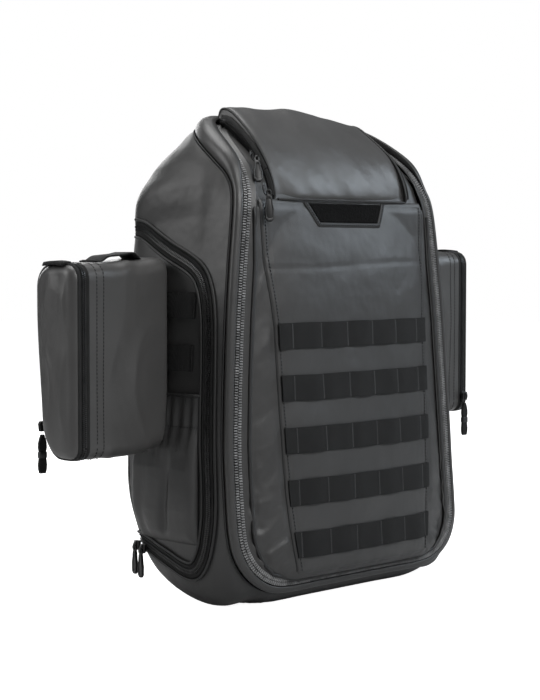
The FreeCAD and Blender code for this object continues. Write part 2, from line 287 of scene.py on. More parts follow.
def make_materials():
    MAT.update(
        body=coated_nylon("body_nylon", 40, 47),
        lid=coated_nylon("lid_nylon", 44, 52),
        # The top flap's nylon is toned lighter than the body's: painted light for its top, which faces the
        # lamps.
        dome=coated_nylon("dome_nylon_painted_light", 60, 70, (0.34, 0.46)),
        strip=coated_nylon("lip_nylon", 46, 54, (0.36, 0.48), 0.3),
        pouch=coated_nylon("pouch_nylon", 57, 66, (0.32, 0.44), 0.4),
        dark=coated_nylon("trim_nylon", 16, 21, (0.5, 0.6), 0.3),
        tape=webbing_material("zip_tape", 33),
        web=webbing_material("webbing", 22),
        thread=moulded("thread", 12, 0.6),
        tack=moulded("tack_thread", 46, 0.6),
        coil=coil_material("coil", 120),
        coil_dark=coil_material("coil_dark", 40),
        rubber=moulded("pull_rubber", 20, 0.45),
        plastic=moulded("buckle_plastic", 20, 0.4),
        metal=metal_material("slider_metal", 70),
        bright=metal_material("stay_metal", 190),
        mesh=mesh_material("spacer_mesh", 26),
        pile=pile_material("loop_pile", 12))


# ---------------------------------------------------------------- mesh helpers
def unit(v):
    v = np.asarray(v, float)
    return v / np.maximum(np.linalg.norm(v, axis=-1, keepdims=True), 1e-9)


def same(vector, count):
    """One direction repeated for every row of a path."""
    return np.tile(np.asarray(vector, float), (count, 1))


def flip_inward(vectors, offsets):
    """Turn round the vectors that point against their offsets from a middle."""
    inward = (offsets * vectors).sum(-1) < 0
    return np.where(inward[..., None], -vectors, vectors)


def rolled(distance, radius):
    """A rolled edge: 0 at the edge, rising in a quarter circle to 1 at the radius."""
    return np.sqrt(np.clip(1 - (1 - np.clip(distance / radius, 0, 1)) ** 2, 0, 1))


def resample(points, count, closed):
    """Even spacing by the length of the first three columns."""
    p = np.vstack([points, points[:1]]) if closed else points
    run = np.r_[0, np.cumsum(np.linalg.norm(np.diff(p[:, :3], axis=0), axis=1))]
    spots = np.linspace(0, run[-1], count, endpoint=not closed)
    return np.stack([np.interp(spots, run, p[:, k]) for k in range(p.shape[1])], 1)


def spline(keys, count):
    """A smooth open line through key rows, evenly resampled."""
    p = np.array(keys, float)
    p = np.vstack([2 * p[0] - p[1], p, 2 * p[-1] - p[-2]])
    t = np.linspace(0, 1, 16, endpoint=False)[:, None]
    out = []
    for a, b, c, d in zip(p, p[1:], p[2:], p[3:]):
        out.append(0.5 * (2 * b + (c - a) * t + (2 * a - 5 * b + 4 * c - d) * t ** 2
                          + (3 * b - 3 * c + d - a) * t ** 3))
    out.append(p[-2:-1])
    return resample(np.vstack(out), count, False)


def declare(obj, body, node):
    """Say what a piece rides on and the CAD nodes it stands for."""
    if body:
        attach(obj, body)
    if node:
        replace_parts(obj, *([node] if isinstance(node, str) else node))
    return obj


def make(name, verts, faces, material, body=None, node=None, smooth=True):
    """A mesh object in millimetres."""
    mesh = bpy.data.meshes.new(name)
    mesh.from_pydata((np.asarray(verts, float) * MM).tolist(), [], faces)
    mesh.materials.append(material)
    mesh.validate()
    mesh.polygons.foreach_set("use_smooth", [smooth] * len(mesh.polygons))
    obj = bpy.data.objects.new(name, mesh)
    bpy.context.scene.collection.objects.link(obj)
    return declare(obj, body, node)


def grid_faces(rows, cols, wrap_rows, wrap_cols=False):
    """Four-sided faces of a grid, which may close on itself either way."""
    out = []
    for i in range(rows if wrap_rows else rows - 1):
        for j in range(cols if wrap_cols else cols - 1):
            a, b = i * cols + j, i * cols + (j + 1) % cols
            c, d = ((i + 1) % rows) * cols + (j + 1) % cols, ((i + 1) % rows) * cols + j
            out.append((a, b, c, d))
    return out


def apply_modifiers(obj):
    """Keep the shape the modifiers make and drop the modifiers."""
    bpy.context.view_layer.update()
    graph = bpy.context.evaluated_depsgraph_get()
    mesh = bpy.data.meshes.new_from_object(obj.evaluated_get(graph))
    obj.modifiers.clear()
    obj.data = mesh
    return obj


def orient(obj):
    """Make the face directions agree and point outward."""
    bm = bmesh.new()
    bm.from_mesh(obj.data)
    bmesh.ops.remove_doubles(bm, verts=bm.verts, dist=1e-6)
    bmesh.ops.recalc_face_normals(bm, faces=bm.faces)
    bm.to_mesh(obj.data)
    bm.free()
    return obj


def thicken(obj, thickness, centre):
    """Give an open sheet a back face on the side of the centre."""
    mesh = obj.data
    toward = Vector(centre) * MM
    votes = sum(1 if p.normal.dot(p.center - toward) > 0 else -1 for p in mesh.polygons)
    if votes < 0:
        mesh.flip_normals()
    solid = obj.modifiers.new("solid", "SOLIDIFY")
    solid.thickness = thickness * MM
    solid.offset = -1
    apply_modifiers(obj)
    obj.data.set_sharp_from_angle(angle=math.radians(50))
    return obj


def sheet_grid(name, points, material, body=None, node=None, thickness=3.0, wrap=False,
               centre=(0, 0, 250)):
    """A thick sheet from a grid of points."""
    rows, cols = points.shape[:2]
    obj = make(name, points.reshape(-1, 3), grid_faces(rows, cols, wrap), material, body, node)
    return thicken(obj, thickness, centre)


def sweep(name, path, section, material, body=None, closed=False):
    """A closed section swept along a path: the section lists (outward, normal) offsets."""
    place, out, normal = path
    section = np.asarray(section, float)
    ring = place[:, None] + out[:, None] * section[None, :, :1] + normal[:, None] * section[None, :, 1:2]
    rows, cols = ring.shape[:2]
    faces = grid_faces(rows, cols, closed, True)
    if not closed:
        faces += [tuple(range(cols))[::-1], tuple(range((rows - 1) * cols, rows * cols))]
    return orient(make(name, ring.reshape(-1, 3), faces, material, body))


def join(parts):
    bpy.ops.object.select_all(action="DESELECT")
    for part in parts:
        part.select_set(True)
    bpy.context.view_layer.objects.active = parts[0]
    if len(parts) > 1:
        bpy.ops.object.join()
    return parts[0]


def merge(name, parts, body, node):
    """Join several objects into one piece that keeps their materials."""
    joined = join(parts)
    joined.name = name
    return declare(joined, body, node)


def box_faces(a):
    """The faces of a box whose eight corners start at index a."""
    return [(a, a + 3, a + 2, a + 1), (a + 4, a + 5, a + 6, a + 7), (a, a + 1, a + 5, a + 4),
            (a + 1, a + 2, a + 6, a + 5), (a + 2, a + 3, a + 7, a + 6), (a + 3, a, a + 4, a + 7)]


def bars(name, place, along, across, up, half_along, half_across, height, material, body=None,
         sink=0.3, taper=0.7):
    """Many small tapered bars, one at each place: teeth, threads or bar tacks."""
    verts, faces = [], []
    for p, t, o, n in zip(place, along, across, up):
        faces += box_faces(len(verts))
        for level, size in ((-sink, 1.0), (height, taper)):
            for sa, so in ((-1, -1), (1, -1), (1, 1), (-1, 1)):
                verts.append(p + t * sa * half_along * size
                             + o * so * half_across * (0.5 + size / 2) + n * level)
    return orient(make(name, verts, faces, material, body, smooth=False))


def tangents(points, closed=False):
    if closed:
        return unit(np.roll(points, -1, 0) - np.roll(points, 1, 0))
    return unit(np.gradient(points, axis=0))


def framed(points, normals, closed=False, centre=None):
    """A path: places, outward directions and normals at right angles to it."""
    t = tangents(points, closed)
    n = unit(normals - (normals * t).sum(1, keepdims=True) * t)
    o = np.cross(n, t)
    if centre is not None:
        o = flip_inward(o, points - np.asarray(centre, float))
    return points, o, n


def even_path(path, pitch, closed, phase=0.0):
    """Places at an even pitch on a path, with tangents."""
    rows = np.hstack(path)
    loop = np.vstack([rows, rows[:1]]) if closed else rows
    run = np.r_[0, np.cumsum(np.linalg.norm(np.diff(loop[:, :3], axis=0), axis=1))]
    spots = np.arange(pitch * (0.5 + phase), run[-1] - pitch * 0.2, pitch)
    rows = np.stack([np.interp(spots, run, loop[:, k]) for k in range(9)], 1)
    p, o, n = rows[:, :3], unit(rows[:, 3:6]), unit(rows[:, 6:])
    return p, unit(np.cross(o, n)), o, n


def round_section(radius, out=0.0, up=0.0, count=8):
    """A circle as (outward, normal) offsets."""
    turn = np.linspace(0, 2 * math.pi, count, endpoint=False)
    return [(out + radius * math.cos(a), up + radius * math.sin(a)) for a in turn]


TOOTH_GAP = 0.05     # from the tooth line to the teeth


def teeth(name, path, reach, pitch, height, material, side, closed=False):
    """One half of a coil zipper: side is +1 outside the tooth line and -1 inside it."""
    p, t, o, n = even_path(path, pitch, closed, 0.0 if side > 0 else 0.5)
    middle = p + o * side * (TOOTH_GAP + reach / 2)
    return bars(name, middle, t, o, n, pitch * 0.36, reach / 2, height, material, sink=0.4, taper=0.55)


STITCH_RISE = 0.15   # thread above the cloth


def stitches(name, points, normals, body=None, pitch=3.4, closed=False):
    """A line of thread stitches lying on a surface."""
    path = framed(np.asarray(points, float), np.asarray(normals, float), closed)
    p, t, o, n = even_path(path, pitch, closed)
    return bars(name, p + n * STITCH_RISE, t, o, n, pitch * 0.36, 0.38, 0.42, MAT["thread"], body,
                taper=0.6)


def ripples(points, scale, seed, stretch=(1, 1, 1)):
    """Smooth noise from -1 to 1 at places in millimetres; the seed picks one of many patterns."""
    flat = points.reshape(-1, 3) * np.asarray(stretch, float)
    values = [noise.noise(Vector((x / scale + seed, y / scale + seed * 1.7, z / scale - seed)))
              for x, y, z in flat]
    return np.array(values).reshape(points.shape[:-1])


def ridges(points, scale, seed, stretch=(1, 1, 1), sharp=1.6):
    """Folds: 1 on a crease and falling to 0 beside it."""
    return (1 - np.abs(ripples(points, scale, seed, stretch)) * 2).clip(0, 1) ** sharp


def grid_normals(points, middle):
    """A grid's normals, facing away from a middle."""
    normals = unit(np.cross(np.gradient(points, axis=0), np.gradient(points, axis=1)))
    return flip_inward(normals, points - np.asarray(middle))


def smoothstep(x, low, high):
    t = np.clip((x - low) / (high - low), 0, 1)
    return t * t * (3 - 2 * t)


def surface_tree(obj):
    """A mesh in millimetres, ready for casting points on it."""
    mesh = obj.data
    verts = [v.co / MM for v in mesh.vertices]
    return BVHTree.FromPolygons(verts, [tuple(p.vertices) for p in mesh.polygons])


def project(tree, points, direction):
    """Cast each point along a direction on a surface: places and outward normals."""
    places, normals = [], []
    d = Vector(direction)
    for p in points:
        hit, normal, _, _ = tree.ray_cast(Vector(p), d)
        if hit is None:
            hit, normal, _, _ = tree.find_nearest(Vector(p))
        if normal.dot(d) > 0:
            normal = -normal
        places.append(hit)
        normals.append(normal)
    return np.array(places), unit(np.array(normals))


def smooth_rows(values, times):
    values = np.array(values, float)
    for _ in range(times):
        values[1:-1] = (values[:-2] + 2 * values[1:-1] + values[2:]) / 4
    return values


# ---------------------------------------------------------------- the pack's main lines
# One row per key of half of the main zipper, from the bottom middle up the right side to the
# top middle: tooth line x y z, the way it faces, the back panel's edge x y z, and how far the
# wall bulges before it turns into the back.
RIM_KEYS = [
    (0, -93.2, 24, 0, -.93, -.36, 0, 64, 30, 40),
    (55, -93.2, 24, 0, -.93, -.36, 55, 64, 30, 40),
    (101, -93.2, 24, .02, -.93, -.34, 98, 64, 31, 40),
    (124.7, -92.9, 28, .08, -.94, -.30, 122, 65, 36, 30),
    (144.8, -91.9, 40, .15, -.95, -.20, 139, 67, 50, 22),
    (157, -89, 58, .22, -.96, -.08, 148, 70, 74, 26),
    (160.5, -86, 80, .26, -.96, .04, 152, 73, 100, 35),
    (160.5, -82.5, 120, .26, -.96, .07, 150, 76, 135, 34),
    (160, -80, 160, .26, -.96, .07, 150, 75, 170, 34),
    (156.5, -77.8, 220, .26, -.96, .05, 150, 72, 222, 34),
    (152, -76.2, 280, .26, -.96, .04, 149, 69.5, 275, 36),
    (146.5, -74.6, 330, .26, -.96, .04, 147, 69, 322, 40),
    (139, -72.5, 385, .27, -.94, .14, 141, 69, 360, 44),
    (134.5, -67, 408, .28, -.89, .32, 136, 68.5, 376, 44),
    (131, -56, 426, .30, -.76, .54, 129, 68, 390, 40),
    (127, -38, 442, .30, -.55, .75, 118, 67, 401, 34),
    (120, -17, 457, .28, -.40, .87, 104, 66.5, 409, 28),
    (110, -2, 466.5, .20, -.25, .95, 88, 66, 414, 24),
    (97, 4, 470.5, .08, -.15, .98, 70, 65.5, 417, 22),
    (78, 6, 471.5, 0, -.10, .99, 52, 65.5, 418, 22),
    (42, 6.5, 472, 0, -.10, .99, 28, 65.5, 419, 22),
    (0, 6.5, 472, 0, -.10, .99, 0, 65.5, 419, 22),
]
LOOP_CENTRE = (0, -40, 245)
TEETH = 5.2          # half width of the tooth band
LOW_LIP = 7.5        # width of the outer lip down the sides
TOP_LIP = 15.0       # and over the top


def whole_rim(half):
    """Mirror the right half into one closed loop, starting at the bottom middle."""
    flip = np.ones(half.shape[1])
    flip[[0, 3, 6]] = -1
    return np.vstack([half, (half * flip)[-2:0:-1]])


RIM_ROWS = whole_rim(spline(RIM_KEYS, 211))
RIM_PATH = framed(RIM_ROWS[:, :3], RIM_ROWS[:, 3:6], True, LOOP_CENTRE)


def lip_width(z):
    return LOW_LIP + (TOP_LIP - LOW_LIP) * smoothstep(z, 405, 462)


def lip_height(z):
    """The lip stands up as a collar round the shoulders and over the top."""
    return 2.4 + 6.2 * smoothstep(z, 408, 440)


def tape_width(z):
    """Tooth line to the lid's seam."""
    return np.interp(z, [24, 31, 46, 76, 330, 382], [3.0, 5.5, 9.5, 14.5, 14.5, 9.5])


def front_y(z):
    """The front leans back a little, and more above the webbing."""
    return -96.0 + 0.062 * (z - 250.0) + 0.00102 * np.maximum(z - 285, 0) ** 2


def bow(x):
    """How far the front curves back towards its sides."""
    return 0.0003 * x ** 2 + 3e-8 * x ** 4


def rim_y(z):
    """The zipper's surface, read from the rim's keys."""
    keys = np.array(RIM_KEYS)[1:18]
    return np.interp(z, keys[:, 2], keys[:, 1])


def back_y(z):
    return np.interp(z, [0, 49, 103, 165, 296, 398], [60, 70, 79, 75, 69, 65.5])


# ---------------------------------------------------------------- body
BODY_ROWS = 44
FLOOR_GAP = 0.3      # the base stands just clear of the floor


def body_grid():
    """Rows around the zipper loop, columns from the lip's seam back to the back panel."""
    place, out, normal = RIM_PATH
    lip = lip_width(place[:, 2])[:, None]
    start = place + out * (TEETH + lip + 2.0) - normal * 6.0
    end = RIM_ROWS[:, 6:9]
    along = tangents(end, True)
    outward = flip_inward(unit(np.cross(along, np.array([0, 1.0, 0]))), end - np.array([0, 70, 215]))
    reach = np.linalg.norm(end - start, axis=1, keepdims=True)
    top = smoothstep(place[:, 2], 440, 468)[:, None]
    lean = unit(np.array([0, 1.0, 0]) + 0.16 * out * (1 - top) - np.array([0, 0, 0.10]) * top)
    height = place[:, 2:3]
    foot = 1 - smoothstep(height, 60, 110)
    corner = smoothstep(height, 26, 40) * (1 - smoothstep(height, 44, 76))
    shoulder = smoothstep(height, 375, 420) * (1 - smoothstep(height, 450, 470))
    aside = out * 12 * shoulder + np.sign(place[:, :1]) * np.array([1.0, 0, 0]) * 6 * corner
    down = np.array([0, 0, -1.0])
    first = (start + lean * reach * (0.46 - 0.2 * top) * (1 - 0.85 * foot) + aside
             + down * (28 * foot + 34 * corner))
    second = end + outward * RIM_ROWS[:, 9:10] + aside + down * 6 * foot
    u = np.linspace(0, 1, BODY_ROWS)[None, :, None]
    s, a, b, e = (v[:, None, :] for v in (start, first, second, end))
    return (1 - u) ** 3 * s + 3 * (1 - u) ** 2 * u * a + 3 * (1 - u) * u ** 2 * b + u ** 3 * e


def body_folds(grid):
    """Soft drape in the walls: long folds beside the zipper and over the shoulder."""
    n = grid_normals(grid, (0, 0, 230))
    u = np.linspace(0, 1, grid.shape[1])[None, :]
    mid = smoothstep(u, 0.02, 0.2) * (1 - smoothstep(u, 0.85, 1.0))
    long_folds = ridges(grid, 46, 3.1, (1, 1.0, 0.28), 1.3)
    shoulder = smoothstep(grid[..., 2], 330, 430)
    soft = ripples(grid, 60, 8.2)
    amount = 1.1 * soft + 1.5 * long_folds * (0.4 + 0.6 * shoulder) - 0.6
    flat = smoothstep(grid[..., 2], 3, 22)
    return grid + n * (amount * mid * flat)[..., None]


# The side door's zipper line in Y and Z, from the bottom back round the front to the top back.
DOOR_KEYS = [(56, 56), (38, 54), (8, 45), (-20, 36), (-37, 37), (-50, 53), (-57, 80), (-58, 108), (-55, 170),
             (-51.5, 250), (-48.5, 285), (-42, 310), (-29, 328), (5, 346), (38, 364), (56, 368)]


def door_line(count, grow=0.0):
    """The door's line in Y and Z, moved out by an amount."""
    line = spline([(y, z, 0) for y, z in DOOR_KEYS], count)
    t = tangents(line)
    side = flip_inward(np.stack([t[:, 1], -t[:, 0], 0 * t[:, 0]], 1), line - np.array([20, 205, 0]))
    return (line + side * grow)[:, :2]


def door_prism(grow, name):
    """A cutter through the side walls in the door's outline."""
    line = door_line(90, grow)
    hinge = 60.0 + grow
    loop = np.vstack([[[hinge, line[0, 1]]], line, [[hinge, line[-1, 1]]]])
    count = len(loop)
    verts = [(x, y, z) for x in (-260.0, 260.0) for y, z in loop]
    faces = [tuple(range(count)), tuple(range(2 * count - 1, count - 1, -1))]
    faces += [(i, i + count, (i + 1) % count + count, (i + 1) % count) for i in range(count)]
    return orient(make(name, verts, faces, MAT["dark"], smooth=False))


def boolean(obj, cutter, how):
    mod = obj.modifiers.new("cut", "BOOLEAN")
    mod.operation = how
    mod.object = cutter
    mod.solver = "EXACT"
    return apply_modifiers(obj)


def rim_index(z):
    """The row of the loop at a height on the right side."""
    place = RIM_PATH[0]
    rows = np.where(place[:, 0] > 60)[0]
    return rows[np.argmin(np.abs(place[rows, 2] - z))]


def body_parts():
    """The body's walls, each cut from one surface, with the doors cut out of the sides."""
    grid = body_folds(body_grid())
    grid[..., 2] = np.maximum(grid[..., 2], FLOOR_GAP)
    count = len(grid)
    low_r, high_r = rim_index(25.2), rim_index(456)
    high_l, low_l = count - high_r, count - low_r
    spans = {
        "base_panel": np.r_[low_l:count, 0:low_r + 1],
        "side_panel_right": np.arange(low_r, high_r + 1),
        "crown_panel": np.arange(high_r, high_l + 1),
        "side_panel_left": np.arange(high_l, low_l + 1),
    }
    opening = door_prism(1.0, "door_hole")
    leaf = door_prism(-1.2, "door_leaf")
    trees = {}
    for node, rows in spans.items():
        part = sheet_grid(node + "_cloth", grid[rows], MAT["body"], "pack_body", node)
        if node.startswith("side"):
            name = node.split("_")[-1]
            trees[name] = surface_tree(part)
            door = part.copy()
            door.data = part.data.copy()
            door.name = "door_panel_cloth_" + name
            bpy.context.scene.collection.objects.link(door)
            boolean(part, opening, "DIFFERENCE")
            boolean(door, leaf, "INTERSECT")
            del door["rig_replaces"]
            declare(door, name + "_door", "door_panel_" + name)
    for cutter in (opening, leaf):
        bpy.data.objects.remove(cutter, do_unlink=True)
    back_panel(grid)
    return trees


def back_panel(grid):
    """The flat back, closed towards its middle in rings."""
    edge = grid[:, -1]
    spine = np.clip(edge[:, 2], 130, 330)
    middle = np.stack([edge[:, 0] * 0, back_y(spine), spine], 1)
    steps = np.linspace(0, 1, 14)[None, :, None]
    rings = edge[:, None] * (1 - steps) + middle[:, None] * steps
    inner = smoothstep(steps[..., 0], 0, 0.4)
    rings[..., 1] = rings[..., 1] * (1 - inner) + back_y(rings[..., 2]) * inner
    sheet_grid("back_wall_cloth", rings, MAT["dark"], "pack_body", "back_wall", wrap=True)


def lip_and_zip():
    """Outer lip, tapes and teeth of the main zipper."""
    place, out, normal = RIM_PATH
    lip = lip_width(place[:, 2])
    rise = lip_height(place[:, 2])[:, None]
    hood = 4.6 * smoothstep(place[:, 2:3], 405, 432)
    # Shares of the lip's width, the hood and the lip's height, and a fixed rise.
    shape = [(0.0, 0, 0, -0.4), (0.0, 0.2, 0.4, 0), (0.0, 1.0, 0.85, 0), (0.14, 0.5, 1.0, 0),
             (0.42, 0, 1.0, 0.1), (0.7, 0, 0.82, 0), (0.92, 0, 0.42, 0), (1.02, 0, 0, -0.6),
             (1.02, 0, 0, -3.0), (0.93, 0, 0, -6.4), (0.5, 0, 0, -5.6), (0.1, 0, 0, -3.0)]
    ring = np.stack([place + out * (TEETH + a * lip[:, None] - b * hood) + normal * (c * rise + d)
                     for a, b, c, d in shape], 1)
    rows, cols = ring.shape[:2]
    orient(make("rim_lip", ring.reshape(-1, 3), grid_faces(rows, cols, True, True), MAT["strip"], "pack_body",
                "rim_band"))
    tape = [(0.5, -0.6), (TEETH + 1, -0.6), (TEETH + 1, -1.8), (0.5, -1.8)]
    outer = sweep("main_tape_outer", RIM_PATH, tape, MAT["tape"], closed=True)
    rows = teeth("main_teeth_outer", RIM_PATH, TEETH - 0.9, 2.6, 1.5, MAT["coil"], 1, True)
    merge("main_zip_body_half", [outer, rows], "pack_body", "main_zip_outer")
    inner = inner_tape()
    rows = teeth("main_teeth_inner", RIM_PATH, TEETH - 0.9, 2.6, 1.5, MAT["coil"], -1, True)
    merge("main_zip_lid_half", [inner, rows], "front_lid", "main_zip_inner")
    seam = place + out * (TEETH + lip + 1.6)[:, None] - normal * 4.4
    sweep("rim_seam_piping", (seam, out, normal), round_section(0.8, count=6), MAT["thread"], "pack_body",
          True)


def inner_tape():
    """The lid's side of the tape: flat by the teeth and crumpled low down, where the lid slumps."""
    place, out, normal = RIM_PATH
    wide = tape_width(place[:, 2])
    steps = np.linspace(0, 1, 9)
    ring = np.stack([place - out * (0.5 + (wide + 1.5)[:, None] * s) + normal * (0.5 * s - sunk)
                     for sunk, across in ((0.6, steps), (1.9, steps[::-1])) for s in across], 1)
    slump = (1 - smoothstep(ring[..., 2], 70, 185)) * smoothstep(np.abs(ring[..., 0]), 70, 110)
    free = np.r_[smoothstep(steps, 0.42, 0.7), smoothstep(steps, 0.42, 0.7)[::-1]][None]
    lift = 1.9 * ripples(ring, 9, 4.1) + 1.6 * (ridges(ring, 13, 2.6, (1, 1, 1), 2.0) - 0.3)
    ring = ring + normal[:, None] * (lift * slump * free)[..., None]
    rows, cols = ring.shape[:2]
    faces = grid_faces(rows, cols, True, True)
    return orient(make("main_tape_inner", ring.reshape(-1, 3), faces, MAT["strip"]))


# ---------------------------------------------------------------- front lid
LID_BOTTOM = 24.5
LID_CORNER = 52.0
LID_ROLL = 15.0
# Over the ledge under the top pocket: step, then Y and Z at the middle, then Y and Z at the edges.
LEDGE = [(388, -76.6, 388, -73, 388), (396, -73, 396.5, -71.5, 395), (402, -70, 403, -69.5, 401),
         (412, -65.5, 414, -65, 411), (429, -54, 431, -53, 428), (446, -37.5, 445, -35, 443),
         (461, -17.5, 460, -15, 457), (469, 1, 471, 1, 466)]


def tooth_half(z):
    """Half width of the tooth line at a height."""
    keys = np.array(RIM_KEYS)[6:18]
    return np.interp(z, keys[:, 2], keys[:, 0])


def lid_half(z):
    """Half width of the lid's cloth at a height."""
    return tooth_half(np.maximum(z, 78)) - tape_width(z) + 0.6


def edge_distance(x, z):
    """Distance in from the lid's rounded outline."""
    half = lid_half(z)
    side = half - np.abs(x)
    low = z - LID_BOTTOM
    cx = lid_half(80) - LID_CORNER
    cz = LID_BOTTOM + LID_CORNER
    radial = LID_CORNER - np.hypot(np.abs(x) - cx, z - cz)
    corner = (np.abs(x) > cx) & (z < cz)
    return np.where(corner, radial, np.minimum(side, low))


def lid_point(x, z):
    """The lid's front surface below the top pocket, before its small folds."""
    drop = 1 - rolled(edge_distance(x, z), LID_ROLL)
    front = np.minimum(front_y(z) + bow(x), rim_y(z) - 3.0)
    y = front + (rim_y(z) - 1.0 - front) * drop
    return np.stack([x + 0 * y, y, z + 0 * y], -1)


def panel_half(z):
    """Half width of the sewn webbing panel."""
    return np.interp(z, [22, 55, 104, 160, 215, 272, 291, 329, 378, 400],
                     [97, 103, 109, 111.5, 113, 114, 116, 120, 122.5, 123])


def lid_folds(points):
    """Diagonal creases in the strips beside the panel, and crumples low on the left."""
    x, z = points[..., 0], points[..., 2]
    strip = smoothstep(np.abs(x) - panel_half(z), 1.5, 9)
    inside = smoothstep(edge_distance(x, z), 0, 8)
    slope = np.sign(x)
    tilted = np.stack([x * 0.55 + z * 0.85 * slope, x * 0, (z * 0.5 - x * 0.9 * slope) * 0.25], -1)
    crease = ridges(tilted, 36, 5.3, (1, 1, 1), 1.6)
    fine = ridges(tilted, 11, 9.1, (1, 1, 1), 1.8)
    low = 1 - smoothstep(z, 80, 220)
    amount = strip * inside * ((1.7 + 0.9 * low) * crease + (0.3 + 0.4 * low) * fine - 0.8)
    amount = amount + (1 - strip) * (0.8 * ripples(points, 70, 2.2) + 0.45 * ripples(points, 21, 3.3))
    crumple = (np.exp(-((edge_distance(x, z) - 5) / 6) ** 2) * (1 - smoothstep(z, 70, 170))
               * smoothstep(z, 20, 40))
    return amount + 1.2 * crumple * ripples(points, 9, 4.4)


def lid_surface(x, z):
    p = lid_point(x, z)
    return p + FRONTWARD * lid_folds(p)[..., None]


def lid_grid():
    """The lid's front face, then the ledge that runs on under the top pocket."""
    cols = 150
    s = np.linspace(-1, 1, cols)
    s = np.sign(s) * (1 - (1 - np.abs(s)) ** 1.35)
    t = np.linspace(0, 1, 150)
    z = LID_BOTTOM + (388 - LID_BOTTOM) * (0.35 * t + 0.65 * (1 - np.cos(t * math.pi / 2)))
    inset = LID_CORNER - (z - LID_BOTTOM)
    cut = np.where(inset > 0, LID_CORNER - np.sqrt(np.clip(LID_CORNER ** 2 - inset ** 2, 0, None)), 0)
    half = np.where(inset > 0, lid_half(80) - cut, lid_half(z))
    front = lid_surface(half[:, None] * s[None], np.repeat(z[:, None], cols, 1))
    keys = np.array(LEDGE, float)
    step = np.linspace(keys[0, 0], keys[-1, 0], 34)[1:]
    cy, cz, ry, rz = (np.interp(step, keys[:, 0], keys[:, k]) for k in (1, 2, 3, 4))
    cy, cz = smooth_rows(cy, 3), smooth_rows(cz, 3)
    half = lid_half(np.minimum(rz, 466)) - 1
    x = half[:, None] * s[None]
    drop = 1 - rolled(half[:, None] - np.abs(x), LID_ROLL)
    fade = (1 - smoothstep(step, 388, 430))[:, None]
    y = cy[:, None] + 0.3 * bow(x) * fade + (ry - cy)[:, None] * drop
    zz = cz[:, None] + (rz - cz)[:, None] * drop
    return np.concatenate([front, np.stack([x, y, zz], -1)], 0)


def lid_parts():
    grid = lid_grid()
    sheet_grid("lid_cloth", grid, MAT["lid"], "front_lid", "lid_shell", 2.5, centre=INSIDE)
    cols = grid.shape[1]
    # A dark cord round the lid's outline: painted shade for the groove between the lid and the tape, laid
    # over the lid edge's highlight.
    line = np.concatenate([grid[150:6:-1, 0], grid[0, 3:cols - 3], grid[6:150, -1]])
    line = spline([tuple(p) for p in line[::3]], 700) + np.array([0, -2.3, 0])
    line[:, 0] += np.sign(line[:, 0]) * 1.1 * smoothstep(np.abs(line[:, 0]), 95, 120)
    path = framed(line, same([0, -1.0, 0.1], len(line)), centre=INSIDE)
    sweep("lid_edge_painted_groove_shade", path, round_section(1.8), MAT["dark"], "front_lid")
    panel_sheet()
    for row in range(1, 6):
        molle_row(row)
    loop_patch()


def panel_point(x, z, rise):
    """Places a given height above the lid's front."""
    return lid_surface(x, z) + FRONTWARD * np.asarray(rise)[..., None]


def panel_sheet():
    """The sewn centre panel, turned under at its edges, with a faint crease near the top."""
    cols, rows = 96, 170
    z = np.linspace(31.5, 395.5, rows)[:, None] * np.ones((1, cols))
    s = np.linspace(-1, 1, cols)
    s = np.sign(s) * (1 - (1 - np.abs(s)) ** 1.3)
    x = panel_half(z) * s[None]
    edge = np.minimum(panel_half(z) - np.abs(x), np.minimum(z - 31.5, 395.5 - z))
    rise = 0.1 + 1.3 * np.sqrt(np.clip(edge / 2.2, 0, 1))
    crease = -0.5 * np.exp(-((z - 331 - 3 * np.sin(x / 60)) / 2.6) ** 2)
    pull = -0.5 * np.exp(-((edge - 6) / 2.0) ** 2)
    p = panel_point(x, z, rise + crease + pull)
    sheet_grid("molle_panel_cloth", p, MAT["lid"], "front_lid", "molle_panel", 1.0,
               centre=INSIDE)
    zz, front = np.linspace(34, 392, 240), same(FRONTWARD, 240)
    cord = [(out, up * 5 / 7) for out, up in round_section(0.7, count=6)]
    for name, side in SIDES:
        line = panel_point(side * (panel_half(zz) - 4.2), zz, np.full(240, 1.25))
        stitches("panel_stitch_" + name, line, front, "front_lid")
        # The dark cord at the panel's edge is a real seam, coloured dark also as painted shade in the recess
        # beside the panel.
        seam = panel_point(side * (panel_half(zz) + 0.6), zz, np.zeros(240))
        sweep("panel_seam_and_shade_" + name, framed(seam, front), cord, MAT["thread"], "front_lid")


TACK_PITCH = 38.1     # the usual spacing of sewn webbing
TACK_X = [TACK_PITCH * (k - 2.5) for k in range(6)]


